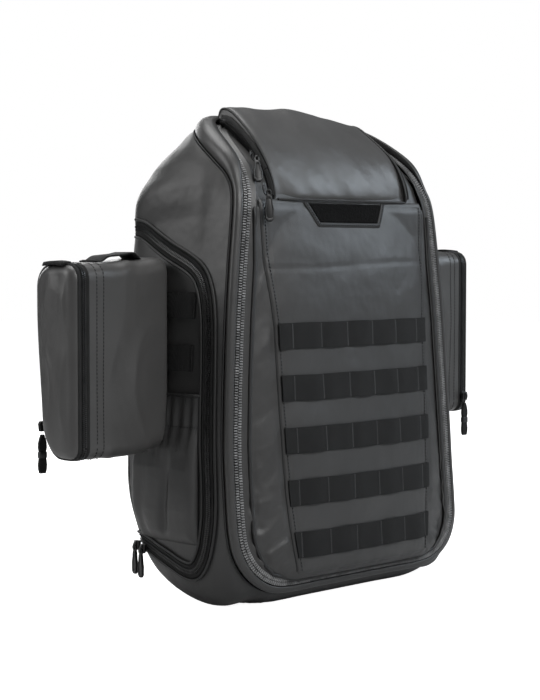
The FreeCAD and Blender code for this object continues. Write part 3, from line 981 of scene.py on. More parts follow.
def molle_row(row):
    """One webbing band: it lies flat at each bar tack and stands off between them."""
    low, high = cad("molle_row_%d" % row)
    z0, z1 = low[2], high[2]
    cols, rows = 190, 12
    z = np.linspace(z0, z1, rows)[:, None] * np.ones((1, cols))
    x = (panel_half(z) - 1.5) * np.linspace(-1, 1, cols)[None]
    nearest = np.min(np.abs(x[..., None] - np.array(TACK_X)), -1)
    stand = np.clip(nearest / (TACK_PITCH / 2), 0, 1)
    puff = (1 - (1 - stand) ** 2.4) * (1.0 + 0.35 * np.sin(x * 0.11 + row))
    edge = np.minimum(z - z0, z1 - z)
    rise = 1.9 + 1.7 * puff + 0.25 * np.sqrt(np.clip(edge / 1.5, 0, 1))
    wave = 0.35 * np.sin(x / 11.0 + row * 2.1)
    p = panel_point(x, z + wave * 0.5, rise)
    band = sheet_grid("band", p, MAT["web"], thickness=1.3, centre=INSIDE)
    parts = [band]
    zz = np.arange(z0 + 1.2, z1 - 1.0, 1.0)
    n = same(FRONTWARD, len(zz))
    zigzag = unit([[1.0, 0, 0.5 * (-1) ** i] for i in range(len(zz))])
    across = unit(np.cross(n, zigzag))
    for tack in TACK_X:
        spot = panel_point(np.full(len(zz), tack), zz, np.full(len(zz), 2.15))
        parts.append(bars("tack", spot, zigzag, across, n, 1.15, 0.36, 0.35, MAT["tack"]))
    merge("molle_row_%d_webbing" % row, parts, "front_lid", "molle_row_%d" % row)


def loop_patch():
    """Loop pile in a stitched trapezoid under the flap's seam."""
    rows, cols = 26, 130
    z = np.linspace(373.5, 392.5, rows)[:, None] * np.ones((1, cols))
    half = np.interp(z, [373, 393], [43.5, 56.0])
    x = half * np.linspace(-1, 1, cols)[None]
    edge = np.minimum(half - np.abs(x), np.minimum(z - 373.5, 392.5 - z))
    pile = 0.45 * ripples(np.stack([x, x * 0, z], -1), 1.6, 7.0)
    p = panel_point(x, z, 1.6 + 1.1 * np.sqrt(np.clip(edge / 1.5, 0, 1)) + pile)
    patch = sheet_grid("pile", p, MAT["pile"], thickness=1.0, centre=INSIDE)
    corners = [(-59.5, 393.5), (-45.5, 371), (45.5, 371), (59.5, 393.5)]
    line = []
    for (x0, z0), (x1, z1) in zip(corners, corners[1:]):
        t = np.linspace(0, 1, 60)[:, None]
        line.append(np.hstack([x0 + (x1 - x0) * t, z0 + (z1 - z0) * t]))
    line = smooth_rows(np.vstack(line), 3)
    path = panel_point(line[:, 0], line[:, 1], np.full(len(line), 1.3))
    n = same(FRONTWARD, len(path))
    trim = sweep("trim", framed(path, n, centre=(0, -90, 385)),
                 [(-2.6, 0), (-2.3, 0.9), (0, 1.3), (2.3, 0.9), (2.6, 0), (0, -0.4)], MAT["dark"])
    thread = stitches("patch_stitch", path + n * 1.25, n, pitch=2.8)
    merge("loop_patch_pile", [patch, trim, thread], "front_lid", "loop_patch")


# ---------------------------------------------------------------- top pocket
# From the front seam over the top to the back: Y and Z of the flap, then Y and Z of its foot.
DOME_KEYS = [(-66, 394, -66, 393), (-72, 396, -66, 396), (-74, 401, -65.5, 402), (-71.5, 413, -63, 410),
             (-65, 428, -57, 422), (-54.5, 445, -47, 435), (-42.5, 459.5, -37, 445.5), (-27, 474, -25, 456),
             (-12.5, 485, -13, 464), (-3, 488.6, -5, 468.5), (3, 487, 1, 472), (5.5, 478, 4, 473.5)]


def dome_half(z):
    return np.interp(z, [392, 440, 470, 490], [100.0, 99.5, 98.5, 96.5])


def dome_sag(z, depth):
    """How far the flap has slumped on its right."""
    return depth * smoothstep(z, 428, 480)


def dome_lines():
    """The flap's line over the top and the line of its foot, in Y and Z."""
    keys = spline([(a, b, 0, c, d) for a, b, c, d in DOME_KEYS], 96)
    return keys[:, [0, 1]], keys[:, [3, 4]]


def dome_grid():
    top, foot = dome_lines()
    half = dome_half(top[:, 1])
    walls = {}
    for side, low in ((LEFT, 0), (RIGHT, dome_sag(top[:, 1], 9))):
        walls[side] = []
        for w in np.linspace(0, 1, 12)[:-1]:
            yz = foot * (1 - w) + (top * 0.94 + foot * 0.06) * w
            bulge = 1.2 * math.sin(w * math.pi)
            walls[side].append(np.stack([side * (half + 2.0 + bulge - w), yz[:, 0], yz[:, 1] - low], 1))
    across = []
    mid = foot * 0.12 + top * 0.88
    for s in np.linspace(-1, 1, 84):
        s = math.copysign(1 - (1 - abs(s)) ** 1.4, s)
        x = s * half
        drop = 1 - rolled(half - np.abs(x), 7.0)
        yz = top * (1 - drop)[:, None] + mid * drop[:, None]
        crown = 1.6 * (1 - s * s)
        back = 0.8 * bow(x) * (1 - smoothstep(top[:, 1], 396, 470))
        lift = crown * smoothstep(top[:, 1], 420, 480) - smoothstep(x, 0, 98) * dome_sag(top[:, 1], 9)
        across.append(np.stack([x, yz[:, 0] + back, yz[:, 1] + lift], 1))
    grid = np.stack(walls[LEFT] + across + walls[RIGHT][::-1], 1)
    n = grid_normals(grid, DOME_MIDDLE)
    x, y, z = (grid[..., k] for k in range(3))
    on_top = smoothstep(dome_half(z) - np.abs(x), 0, 14)
    tilted = np.stack([x * 0.75 + z * 0.8 - y * 0.4, y * 0.15, (x - z) * 0.12], -1)
    folds = 1.9 * ripples(tilted, 28, 1.7) + 0.6 * ripples(tilted, 14, 6.4)
    return grid + n * (folds * on_top)[..., None]


def dome_parts():
    sheet_grid("top_flap_cloth", dome_grid(), MAT["dome"], "top_flap", "top_flap", 2.2,
               centre=DOME_MIDDLE)
    # A dark cord at the flap's front seam: a seam line, coloured dark as painted shade under the flap's
    # overhanging edge.
    x = np.linspace(-97, 97, 160)
    line = np.stack([x, -78.6 + 0.8 * bow(x), 0 * x + 395.8], 1)
    sweep("flap_front_seam_and_shade", framed(line, same([0, -1.0, 0], 160)), round_section(1.2), MAT["dark"],
          "front_lid")
    top, foot = dome_lines()
    for name, side in SIDES:
        yz = top[2:] * 0.9 + foot[2:] * 0.1
        x = side * (dome_half(top[2:, 1]) + 0.8)
        low = dome_sag(top[2:, 1], 8.5) if side == RIGHT else 0
        line = np.stack([x, yz[:, 0], yz[:, 1] - low], 1)
        sweep("flap_piping_" + name, framed(line, same([side, 0, 0.2], len(line))), round_section(1.5),
              MAT["dark"], "top_flap")
    pocket_zip(foot * 0.66 + top * 0.34)


def pocket_zip(rising):
    """The top pocket's zipper, up one side, across behind the flap and down the other."""
    right = [(dome_half(z) + 4.0, y, z) for y, z in rising[6:90:4] if y < -6]
    right += [(102, -1.5, 474.5), (95, 4.5, 475.8), (80, 6.4, 476)]
    line = spline([(-x, y, z) for x, y, z in right] + right[::-1], 420)
    line[:, 2] -= 7 * smoothstep(line[:, 0], 60, 98) * smoothstep(line[:, 2], 425, 470)
    beside = smoothstep(np.abs(line[:, 0]), 85, 100)
    outward = np.stack([np.sign(line[:, 0]) * beside, 1 - beside + 0.02, 0 * beside], 1)
    path = framed(line, outward, centre=(0, -20, 500))
    parts = [sweep("tape", path, [(-6, -0.8), (-6, 0.3), (6, 0.3), (6, -0.8)], MAT["tape"])]
    parts += [teeth("teeth", path, 2.3, 1.7, 1.0, MAT["coil_dark"], half) for half in (1, -1)]
    merge("top_pocket_zip_band", parts, "front_lid", "top_pocket_zip")


# ---------------------------------------------------------------- side doors
def on_side(tree, side, y, z):
    """Places on a side wall, with normals, in grids shaped like y and z."""
    y, z = np.broadcast_arrays(np.asarray(y, float), np.asarray(z, float))
    points = np.stack([np.full(y.size, side * 400.0), y.ravel(), z.ravel()], 1)
    p, n = project(tree, points, (-side, 0, 0))
    return p.reshape(y.shape + (3,)), n.reshape(y.shape + (3,))


def door_zip(name, side, tree):
    line = door_line(300)
    place, normal = on_side(tree, side, line[:, 0], line[:, 1])
    place, normal = smooth_rows(place, 4), unit(smooth_rows(normal, 14))
    place, out, normal = framed(place, normal, centre=(side * 165, 25, 205))
    path = (place + normal * 1.2, out, normal)
    for half, body, node in ((1, "pack_body", "door_zip_frame_"), (-1, name + "_door", "door_zip_")):
        edge = [(half * a, b) for a, b in ((0.2, 0), (8.6, -0.4), (8.6, -2.6), (0.2, -1.4))]
        tape = sweep("tape", path, edge, MAT["tape"])
        welt = sweep("welt", path, round_section(1.5, half * 8.8, 0.2), MAT["dark"])
        rib = sweep("rib", path, round_section(0.6, half * 5.4, 0.1, 6), MAT["tape"])
        row = teeth("row", path, 2.5, 1.9, 1.2, MAT["coil_dark"], half)
        merge(node + "band_" + name, [tape, welt, rib, row], body, node + name)


def door_molle(name, side, tree):
    parts = []
    for low in (229.2, 280.0):
        y = np.linspace(-33, 44, 70)[None, :]
        z = np.linspace(low, low + 25.4, 10)[:, None]
        place, normal = on_side(tree, side, y, z)
        stand = np.clip(np.abs((y + 31) % TACK_PITCH - TACK_PITCH / 2) / (TACK_PITCH / 2), 0, 1)
        rise = 1.5 + 1.5 * (1 - stand ** 2.2) + 0 * z
        parts.append(sheet_grid("band", place + normal * rise[..., None], MAT["web"], thickness=1.3,
                                centre=(0, 20, low)))
        zz = np.arange(low + 1.2, low + 24.4, 1.0)
        along = same([0, 1.0, 0], len(zz))
        for tack in (-31.0, 7.1):
            spot, n = on_side(tree, side, np.full(len(zz), tack), zz)
            parts.append(bars("tack", spot + n * 1.75, along, unit(np.cross(n, along)), n, 1.1, 0.36, 0.4,
                              MAT["thread"]))
    merge("door_webbing_" + name, parts, name + "_door", "door_molle_" + name)


def door_pocket(name, side, tree):
    """An elastic topped pocket: puffy below its gathered seam, with a hem above."""
    y = np.linspace(-45, 44, 74)[None, :]
    z = np.linspace(62, 206, 96)[:, None]
    place, normal = on_side(tree, side, y, z)
    edge = np.minimum(np.minimum(y + 45, 44 - y), z - 62 + 0 * y)
    roll = rolled(edge, 11)
    belly = np.interp(z, [62, 74, 95, 135, 165, 176, 186, 206], [3, 7, 10, 9.5, 6, 3.2, 3.6, 3.2]) + 0 * y
    gather = np.exp(-((z - 180) / 22) ** 2) * np.sin(y * 0.62 + 1.3 * np.sin(y * 0.13))
    tuck = (np.exp(-((y + 4 + (z - 80) * 0.12) / 5.0) ** 2) * smoothstep(z, 66, 80)
            * (1 - smoothstep(z, 95, 165)))
    side_fold = np.exp(-((y - 26 + (z - 90) * 0.1) / 7.0) ** 2) * (1 - smoothstep(z, 110, 170))
    drape = 1.2 * ripples(place, 30, 3.3)
    rise = 0.9 + roll * (belly + drape + 1.1 * gather - 4.0 * tuck - 1.8 * side_fold)
    points = place + normal * rise[..., None]
    cloth = sheet_grid("cloth", points, MAT["body"], thickness=1.6, centre=(0, 20, 130))
    hem = sweep("hem", framed(points[-1], normal[-1]), round_section(1.5), MAT["dark"])
    seam_row = int(np.argmin(np.abs(z[:, 0] - 176)))
    seam = stitches("seam", points[seam_row], normal[seam_row], pitch=3.0)
    merge("door_pocket_cloth_" + name, [cloth, hem, seam], name + "_door", "door_pocket_" + name)


# ---------------------------------------------------------------- pouches
def rounded_loop(y0, y1, z0, z1, radii):
    """A rounded rectangle in Y and Z: radii for low front, low back, top back and top front."""
    corners = ((y0, z0, 180), (y1, z0, 270), (y1, z1, 0), (y0, z1, 90))
    points = []
    for (y, z, start), r in zip(corners, radii):
        cy = y + r if y == y0 else y - r
        cz = z + r if z == z0 else z - r
        for a in np.radians(np.linspace(start, start + 90, 9)):
            points.append((cy + r * math.cos(a), cz + r * math.sin(a), 0))
    return resample(np.array(points), POUCH_COUNT, True)[:, :2]


POUCH_Y0, POUCH_Y1, POUCH_Z0, POUCH_Z1 = -7.5, 60.0, 154.5, 340.5
POUCH_ZIP, POUCH_OUT, POUCH_IN = 287.0, 300.0, 177.0
POUCH_COUNT = 112                   # points round a pouch
POUCH_MIDDLE = np.array([0, 27, 249])
HANG = {LEFT: -6.0, RIGHT: 5.0}     # the soft pouches hang a little unevenly


def pouch_ring(x, side, shrink=0.0):
    """The pouch's outline at a distance out from the pack's middle."""
    low_back = 18 + 20 * smoothstep(x, 215, 292)
    top_back = 14 + 10 * smoothstep(x, 250, 296)
    swell = 1.8 * math.sin(math.pi * np.clip((x - POUCH_IN) / (POUCH_ZIP - POUCH_IN), 0, 1))
    grow = swell - 1.8 - shrink
    radii = [max(4, r + grow) for r in (13, low_back, top_back, 15)]
    back = POUCH_Y1 - 7 * smoothstep(x, 255, 300)
    loop = rounded_loop(POUCH_Y0 - grow, back + grow, POUCH_Z0 - grow, POUCH_Z1 + grow, radii)
    taper = (9 * smoothstep(loop[:, 0], 15, 60) * (1 - smoothstep(loop[:, 1], 160, 300))
             * smoothstep(x, 225, 285))
    loop = loop + np.stack([-taper, 0 * taper + HANG[side] * smoothstep(x, 178, 230)], 1)
    return np.hstack([np.full((POUCH_COUNT, 1), side * x), loop])


def pouch_surface(side, steps):
    """Rings at distances out, each shrunk by an amount."""
    return np.array([pouch_ring(x, side, shrink) for x, shrink in steps])


def loop_path(side, x):
    """A closed path round the pouch at one distance out, facing away from its middle."""
    place = pouch_ring(x, side)
    out = same([side, 0, 0], POUCH_COUNT)
    normal = unit(np.cross(tangents(place, True), out))
    return place, out, flip_inward(normal, place - POUCH_MIDDLE - np.array([side * x, 0, 0]))


def close_end(points, steps, x_rise):
    """Rings that close a loop's end like a soft cushion face."""
    middle = points.mean(0)
    rings = []
    for s in steps:
        ring = points * (1 - s) + middle * s
        ring[:, 0] = points[:, 0] + x_rise * (1 - (1 - s) ** 2)
        rings.append(ring)
    return rings


def pouch(name, side):
    """A pouch's shell with its zipper, stitching, handle and ties, and then its lid."""
    roll = np.linspace(0, math.pi / 2, 6)
    inner = [(POUCH_IN + 7 - 7 * math.cos(a), 7 * (1 - math.sin(a))) for a in roll]
    wall = [(x, 0.0) for x in np.linspace(POUCH_IN + 10, POUCH_ZIP - 6, 40)]
    rings = pouch_surface(side, inner + wall)
    rings = np.concatenate([close_end(rings[0], np.linspace(0.98, 0.1, 6), side * -0.5), rings])
    away = unit((rings - POUCH_MIDDLE) * np.array([0, 1, 1]))
    mask = smoothstep(np.abs(rings[..., 0]), 186, 205) * (1 - smoothstep(np.abs(rings[..., 0]), 262, 280))
    drape = (1.6 * ripples(rings, 42, 5.0 + side)
             + 1.5 * (ridges(rings, 38, 1.4 + side, (0.9, 1, 0.42)) - 0.35))
    dent = np.exp(-((np.abs(rings[..., 0]) - 262) / 9) ** 2 - ((rings[..., 2] - 190) / 34) ** 2)
    rings = rings + away * (mask * (drape - 2.4 * dent))[..., None]
    rows, cols = rings.shape[:2]
    faces = grid_faces(rows, cols, False, True) + [tuple(range(cols))[::-1]]
    shell = orient(make("shell", rings.reshape(-1, 3), faces, MAT["pouch"]))
    parts = [shell]
    tree = surface_tree(shell)
    for x in (271.5, 263.5):
        place, _, normal = loop_path(side, x)
        place = np.array([tree.find_nearest(Vector(p))[0] for p in place])
        parts.append(stitches("thread", place, normal, pitch=3.6, closed=True))
    path = loop_path(side, POUCH_ZIP)
    edge = [(-7, -0.6), (-6.5, 0.9), (-5.4, 1.1), (-4.6, 0.1), (-0.2, 0.0), (-0.2, -1.6), (-7, -2.4)]
    parts += [sweep("tape", path, edge, MAT["tape"], closed=True),
              teeth("row", path, 2.4, 1.9, 1.3, MAT["coil_dark"], -1, True), pouch_handle(side),
              pouch_flange(side)]
    merge("pouch_shell_cloth_" + name, parts, name + "_door",
          ("pouch_shell_" + name, "pouch_handle_" + name))
    pouch_lid(name, side, path)


def pouch_flange(side):
    """The webbing that ties the pouch to the door."""
    ys = np.linspace(0, 54, 14)
    pieces = []
    for z in (240.0, 292.0):
        line = np.stack([np.full(14, side * 181.0), ys, np.full(14, z)], 1)
        path = (line, same([0, 0, 1], 14), same([side, 0, 0], 14))
        pieces.append(sweep("tie", path, [(-12, -0.9), (-12, 0.9), (12, 0.9), (12, -0.9)], MAT["web"]))
    return join(pieces)


def pouch_handle(side):
    """A webbing loop on the pouch's top, with a bar tack at each end."""
    keys = [(189, 341.0, 0), (196, 341.6, 0), (202, 345.5, 0), (208, 349.2, 0), (219, 347.6, 0),
            (231, 346.6, 0), (240, 345.6, 0), (248, 341.8, 0), (255, 341.2, 0)]
    line = spline(keys, 60)
    place = np.stack([side * line[:, 0], np.full(60, 24.8), line[:, 1] + HANG[side]], 1)
    out = same([0, 1, 0], 60)
    normal = flip_inward(unit(np.cross(out, tangents(place))), np.array([0, 0, 1]))
    section = [(-12.6, -0.7), (-12.6, 0.7), (-11.6, 1.0), (11.6, 1.0), (12.6, 0.7), (12.6, -0.7)]
    parts = [sweep("strap", (place, out, normal), section, MAT["web"])]
    ys = np.arange(16, 38.5, 1.1)
    along, across, up = (same(axis, len(ys)) for axis in np.eye(3))
    for x in (192.5, 251.5):
        spot = np.stack([np.full(len(ys), side * x), ys - 2, np.full(len(ys), 342.4 + HANG[side])], 1)
        parts.append(bars("tack", spot, along, across, up, 1.4, 0.4, 0.4, MAT["thread"]))
    return join(parts)


def pouch_lid(name, side, path):
    """The pouch's outer face: a rolled edge round a soft, folded cushion."""
    steps = [(POUCH_ZIP + 4.5, 0.0)] + [(POUCH_OUT - 9.5 + 9.5 * math.sin(a), 9.5 * (1 - math.cos(a)))
                                        for a in np.linspace(0, math.pi / 2, 9)]
    rings = pouch_surface(side, steps)
    rings = np.concatenate([rings, close_end(rings[-1], np.linspace(0.07, 0.97, 16), side * 2.4)])
    on_face = smoothstep(np.arange(len(rings)), 5, 13)[:, None]
    folds = (1.3 * ripples(rings, 22, 2.7 + side, (1, 1.0, 0.3))
             + 1.3 * (ridges(rings, 20, 7.7, (1, 1.1, 0.32)) - 0.4))
    rings[..., 0] += side * on_face * folds
    rings[..., 0] = side * np.minimum(np.abs(rings[..., 0]), POUCH_OUT + 3.5)
    rows, cols = rings.shape[:2]
    faces = grid_faces(rows, cols, False, True)
    faces += [tuple(range((rows - 1) * cols, rows * cols)), tuple(range(cols))[::-1]]
    cloth = orient(make("lid", rings.reshape(-1, 3), faces, MAT["pouch"]))
    lip = [(7, -0.9), (6.5, 0.9), (5.4, 1.1), (4.6, 0.1), (0.2, 0.0), (0.2, -1.6), (7, -2.6)]
    tape = sweep("tape", path, lip, MAT["tape"], closed=True)
    row = teeth("row", path, 2.4, 1.9, 1.3, MAT["coil_dark"], 1, True)
    ys = np.linspace(13, 41, 12)
    line = np.stack([np.full(12, side * 294.0), ys - 3, 341.6 + HANG[side] - 0.006 * (ys - 27) ** 2], 1)
    tab = sweep("tab", (line, same([side, 0, 0], 12), same([0, 0, 1], 12)),
                [(-5.5, -1.2), (-5.5, 0.9), (4.5, 0.4), (6.5, -3.0), (4.5, -3.4)], MAT["web"])
    merge("pouch_lid_cloth_" + name, [cloth, tape, row, tab], name + "_pouch_lid", "pouch_lid_" + name)


# ---------------------------------------------------------------- back: straps, pads and handle
def strap_path(x, keys, count):
    """A strap's middle line, from its places in Y and Z."""
    line = spline([(y, z, 0) for y, z in keys], count)
    place = np.stack([np.full(count, x), line[:, 0], line[:, 1]], 1)
    out = same([1, 0, 0], count)
    return place, out, unit(np.cross(tangents(place), out))


def padded_section(half, thick):
    """A soft flat section with round edges and a slightly crowned face."""
    turn = np.linspace(0, 2 * math.pi, 28, endpoint=False)
    c, s = np.cos(turn), np.sin(turn)
    x = half * np.sign(c) * np.abs(c) ** 0.45
    z = thick * np.sign(s) * np.abs(s) ** 0.75 * (1 - 0.22 * np.abs(c) ** 6)
    return list(zip(x, z))


def webbing_section(half, thick=0.8):
    return [(-half, -thick), (-half, thick * 0.6), (-half + 0.6, thick), (half - 0.6, thick),
            (half, thick * 0.6), (half, -thick)]


STRAP_KEYS = [(71, 401), (77, 409), (86, 412.5), (96, 410.5), (103, 403), (106.4, 392), (106.8, 378),
              (106.8, 340), (106.8, 300), (106.6, 250), (105.6, 200), (104, 158)]


def shoulder_strap(name, side):
    """A padded strap with bound edges and webbing bar-tacked down its middle."""
    path = strap_path(side * 82.0, STRAP_KEYS, 170)
    place, out, normal = path
    parts = [sweep("pad", path, padded_section(29.0, 5.0), MAT["mesh"])]
    for edge in (-1, 1):
        parts.append(sweep("binding", path, round_section(2.3, edge * 28.0), MAT["web"]))
    away = np.sign((normal * np.array([0, 1.0, 0])).sum(1).mean())
    face = [(a, (5.4 + b) * away) for a, b in webbing_section(12.7)]
    parts.append(sweep("webbing", tuple(v[12:-2] for v in path), face, MAT["web"]))
    xs = np.arange(-11, 11.5, 1.1)
    for k in np.arange(30, 165, 22):
        p = place[k] + out[k] * xs[:, None] + normal[k] * 6.2 * away
        n = same(normal[k] * away, len(xs))
        t = same(np.cross(normal[k], out[k]), len(xs))
        parts.append(bars("tack", p, t, np.cross(n, t), n, 1.4, 0.4, 0.4, MAT["thread"]))
    strap = merge("shoulder_strap_pad_" + name, parts, "pack_body", "shoulder_strap_" + name)


def strap_pair(name, node, x, keys, count, half):
    """The same plain strap on the left and on the right."""
    parts = [sweep("strap", strap_path(side * x, keys, count), webbing_section(half), MAT["web"])
             for _, side in SIDES]
    merge(name, parts, "pack_body", node)


def haul_handle():
    """A webbing loop with a padded grip, sewn to the top of the back."""
    keys = [(-41, 72.6, 357), (-41, 73.6, 385), (-41, 75, 415), (-39, 76, 436), (-31, 76.6, 448),
            (-18, 77, 451.5), (0, 77, 452), (18, 77, 451.5), (31, 76.6, 448), (39, 76, 436), (41, 75, 415),
            (41, 73.6, 385), (41, 72.6, 357)]
    path = framed(spline(keys, 150), same([0, 1, 0], 150), centre=(0, 75, 380))
    web = sweep("webbing", path, webbing_section(10.5, 0.9), MAT["web"])
    grip = sweep("grip", tuple(v[60:90] for v in path), padded_section(11.5, 3.6), MAT["dark"])
    merge("haul_handle_webbing", [web, grip], "pack_body", "haul_handle")


def back_pad(x0, x1, z0, z1, quilt):
    """A foam pad: crowned face, rolled edges and sewn channels, closed behind."""
    u = np.linspace(-1, 1, 46)
    v = np.linspace(-1, 1, int(46 * (z1 - z0) / (x1 - x0)))
    uu, vv = np.meshgrid(u, v)
    pull = 1 - 0.03 * (1 - vv ** 2)
    x = (x0 + x1) / 2 + (x1 - x0) / 2 * uu * pull * np.sqrt(1 - 0.10 * vv ** 8)
    z = (z0 + z1) / 2 + (z1 - z0) / 2 * vv * (1 - 0.03 * (1 - uu ** 2)) * np.sqrt(1 - 0.10 * uu ** 8)
    edge = np.minimum((1 - np.abs(uu)) * (x1 - x0) / 2, (1 - np.abs(vv)) * (z1 - z0) / 2)
    seams = sum(np.exp(-((z - q) / 2.0) ** 2) for q in quilt)
    rise = 3.0 + rolled(edge, 9) * (9.6 + 1.2 * (1 - uu ** 2) * (1 - vv ** 2) - 4.0 * seams)
    front = np.stack([x, back_y(z) + rise, z], -1)
    pad = sheet_grid("pad", front, MAT["mesh"], thickness=3.2, centre=(0, 0, 200))
    ring = np.concatenate([front[0], front[1:, -1], front[-1, -2::-1], front[-2:0:-1, 0]])
    ring = resample(ring, 150, True)
    path = framed(ring, same([0, 1, 0], 150), True)
    welt = sweep("welt", path, round_section(1.7), MAT["dark"], closed=True)
    return join([pad, welt])


def back_pads():
    parts = [back_pad(-48, -10, 222, 345, (263, 304)), back_pad(10, 48, 222, 345, (263, 304)),
             back_pad(-78, 78, 78, 168, (108, 138))]
    pads = merge("back_pad_foam", parts, "pack_body", "back_pads")


def sternum_strap():
    low, high = cad("sternum_strap")
    line = same((low + high) / 2, 120)
    line[:, 0] = np.linspace(low[0] + 1, high[0] - 1, 120)
    path = (line, same([0, 0, 1], 120), same([0, 1, 0], 120))
    parts = []
    for keep in (line[:, 0] < -20.5, line[:, 0] > 20.5):      # clear of the buckle
        parts.append(sweep("strap", tuple(v[keep] for v in path), webbing_section(9.6), MAT["web"]))
    merge("sternum_webbing", parts, "sternum", "sternum_strap")


# ---------------------------------------------------------------- sliders and pulls
def placed(points, origin, axes):
    """Points set at a place with their own X, Y and Z directions."""
    return np.asarray(points, float) @ unit(np.array(axes, float)) + np.asarray(origin, float)


def placed_mesh(name, verts, faces, origin, axes, material, bevel=0.0):
    obj = orient(make(name, placed(verts, origin, axes), faces, material))
    if bevel:
        mod = obj.modifiers.new("round", "BEVEL")
        mod.width = bevel * MM
        mod.segments = 2
        mod.limit_method = "ANGLE"
        apply_modifiers(obj)
        obj.data.set_sharp_from_angle(angle=math.radians(40))
    return obj


PULL_WIDTH = 9.5


def slab(outline, low, high):
    """A flat plate: an outline in its own X and Y, between two heights."""
    count = len(outline)
    verts = [(x, y, z) for z in (low, high) for x, y in outline]
    faces = [tuple(range(count))[::-1], tuple(range(count, 2 * count))]
    faces += [(i, (i + 1) % count, (i + 1) % count + count, i + count) for i in range(count)]
    return verts, faces


def slider(origin, axes, size=1.0):
    """A zipper slider: two shaped plates, a bridge and a pull loop."""
    shape = [(-3.0, 5.2), (3.0, 5.2), (4.6, 2.6), (4.0, -2.0), (3.4, -5.2), (-3.4, -5.2), (-4.0, -2.0),
             (-4.6, 2.6)]
    outline = [(x * size, y * size) for x, y in shape]
    parts = []
    for low, high in ((-1.4, -0.5), (1.0, 2.0)):
        verts, faces = slab(outline, low * size, high * size)
        parts.append(placed_mesh("plate", verts, faces, origin, axes, MAT["metal"], 0.25))
    arch = [(0, y * size, z * size) for y, z in ((-4.2, 1.8), (-3.4, 3.6), (0, 4.3), (3.4, 3.6), (4.2, 1.8))]
    line = placed(spline(arch, 18), origin, axes)
    across = same(unit(np.array(axes[0], float)), 18)
    up = unit(np.cross(across, tangents(line)))
    section = webbing_section(1.3 * size, 0.5 * size)
    return join(parts + [sweep("bridge", (line, across, up), section, MAT["metal"])])


def pull(origin, axes, length):
    """A moulded pull: narrow at its eye, wider and chamfered at its end, with a sunk panel."""
    w = PULL_WIDTH / 2
    half = [(w * 0.45, 0), (w * 0.62, -3), (w * 0.70, -length * 0.3), (w, -length * 0.55),
            (w * 0.92, -length + 2.5), (w * 0.45, -length)]
    outline = [(-w * 0.45, 0)] + half + [(-x, y) for x, y in half[:0:-1]]
    verts, faces = slab(outline, -0.9, 0.9)
    parts = [placed_mesh("tab", verts, faces, origin, axes, MAT["rubber"], 0.35)]
    rim = [(x * 0.97, y * 0.985 - 0.2) for x, y in outline]
    inner = [(x * 0.66, -length * 0.56 + (y + length * 0.56) * 0.72) for x, y in outline]
    count = len(rim)
    quads = []
    for i in range(count):
        j = (i + 1) % count
        a, b, c, d = i, j, j + count, i + count
        quads += [(a, b, c, d), (a + 2 * count, d + 2 * count, c + 2 * count, b + 2 * count),
                  (a, a + 2 * count, b + 2 * count, b), (d, c, c + 2 * count, d + 2 * count)]
    for low, high in ((0.9, 1.35), (-1.35, -0.9)):
        ring = [(x, y, z) for z in (low, high) for loop in (rim, inner) for x, y in loop]
        parts.append(placed_mesh("rim", ring, quads, origin, axes, MAT["rubber"]))
    turn = np.linspace(0, 2 * math.pi, 16, endpoint=False)
    eye = np.stack([2.0 * np.cos(turn), 3.4 * np.sin(turn) + 1.4, 0.5 * np.sin(turn)], 1)
    path = framed(placed(eye, origin, axes), same(unit(np.array(axes[2], float)), 16), True)
    return join(parts + [sweep("eye", path, round_section(0.8, count=6), MAT["metal"], closed=True)])


def hanging(tilt, across=(1.0, 0, 0)):
    """Axes of a pull that hangs in the YZ plane: a positive tilt swings its end to +Y."""
    a = math.radians(tilt)
    up = np.array([0, -math.sin(a), math.cos(a)])
    across = unit(np.array(across, float))
    up = unit(up - across * (up @ across))
    return across, up, np.cross(across, up)


def moving(name, parts, node):
    """A merged piece whose body and CAD node carry the same name."""
    merge(name, parts, node, node)


def sliders_and_pulls():
    for name, side in SIDES:
        top = slider((side * 14.0, 9.5, 475.0), ((0, -side, 0), (side, 0, 0), (0, 0, 1)))
        moving("main_slider_metal_" + name, [top], "main_slider_" + name)
        tab = pull((side * 14.0, 18.4, 475.2), hanging(48), 26.5)
        moving("main_pull_rubber_" + name, [tab], "main_pull_" + name)
        parts = []
        for out, y, z in ((168.0, 44, 48), (165.0, 56, 50)):
            parts.append(slider((side * out, y, z + 0.5), ((0, -side, 0), (0, 0.28, -1), (side, 0, 0))))
            parts.append(pull((side * (out + 2.8), y, z - 4.2), ((0.3, 1, 0), (0, 0, 1), (1, -0.3, 0)), 24.0))
        moving("door_slider_set_" + name, parts, "door_sliders_" + name)
        pouch_hardware(name)
    parts = [slider((-114.6, -58.5, 437), (hanging(-35)[1], (0, 0.50, 0.86), (-1, 0, 0)), 0.95),
             slider((-114.6, -75, 404), (hanging(-20)[1], (0, 0.34, 0.94), (-1, 0, 0)), 0.95)]
    moving("pocket_slider_pair", parts, "pocket_sliders")
    turned = (0.80, -0.60, 0)
    high = pull((-116.5, -64.5, 432.6), hanging(-30, turned), 23.0)
    moving("pocket_pull_high", [high], "pocket_pull_upper")
    low = pull((-116.5, -80.6, 399.4), hanging(-12, turned), 26.5)
    moving("pocket_pull_low", [low], "pocket_pull_lower")


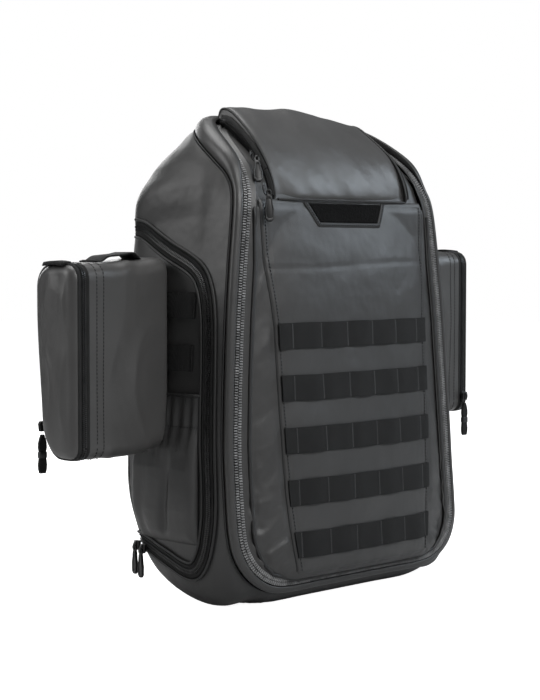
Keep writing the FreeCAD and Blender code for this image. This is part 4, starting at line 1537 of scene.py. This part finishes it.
def pouch_hardware(name):
    """A pouch's slider, and its pull: a knotted loop with a crimp round its middle."""
    low, high = cad("pouch_slider_" + name)
    x, y, z = (low + high) / 2
    facing, tuck = (1, 7.5) if y > 30 else (-1, 0.0)
    metal = slider((x, y - tuck - facing * 0.6, z), ((1, 0, 0), (0, 0, 1), (0, facing, 0)), 0.95)
    moving("pouch_slider_metal_" + name, [metal], "pouch_slider_" + name)
    low, high = cad("pouch_pull_" + name)
    x, y = (low[:2] + high[:2]) / 2
    y -= tuck
    z0, z1 = low[2], high[2]
    half = [1.6, 3.4, 4.6, 4.8, 3.9, 3.6, 4.4, 4.9, 4.6, 3.4]
    down = np.linspace(z1, z0 + 0.3, len(half)) - z1
    outline = list(zip(half, down)) + [(-h, d) for h, d in zip(half[::-1], down[::-1])]
    axes = ((1, 0, 0), (0, 0, 1), (0, -1, 0))
    loop = placed_mesh("loop", *slab(outline, -1.5, 1.5), (x, y, z1), axes, MAT["web"], 0.6)
    crimp = placed_mesh("crimp", *slab([(4.3, -3), (4.3, 3), (-4.3, 3), (-4.3, -3)], -2.1, 2.1),
                        (x, y, z1 - (z1 - z0) * 0.52), axes, MAT["rubber"], 0.6)
    moving("pouch_pull_loop_" + name, [loop, crimp], "pouch_pull_" + name)


def finish_kept_nodes():
    """The hard CAD parts keep their shapes and get their finished materials."""
    looks = [("frame_stays", "bright")]
    looks += [(node, "plastic") for node in ("strap_adjusters", "sternum_buckle_plug",
                                             "sternum_buckle_socket", "frame_sheet")]
    for node, look in looks:
        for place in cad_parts[node].material_slots:
            place.material = MAT[look]


make_materials()
make_camera()
make_stage()
trees = body_parts()
lip_and_zip()
lid_parts()
dome_parts()
for name, side in SIDES:
    door_zip(name, side, trees[name])
    door_molle(name, side, trees[name])
    door_pocket(name, side, trees[name])
    pouch(name, side)
    shoulder_strap(name, side)
strap_pair("load_lifter_webbing", "load_lifters", 82.0,
           [(58, 434), (72, 430.5), (86, 426.5), (97, 421)], 40, 10)
strap_pair("lower_strap_webbing", "lower_straps", 90.0,
           [(104.6, 146), (103.4, 137), (99, 117), (94, 98), (88.5, 80), (83.6, 66)], 60, 12.2)
haul_handle()
back_pads()
sternum_strap()
sliders_and_pulls()
finish_kept_nodes()
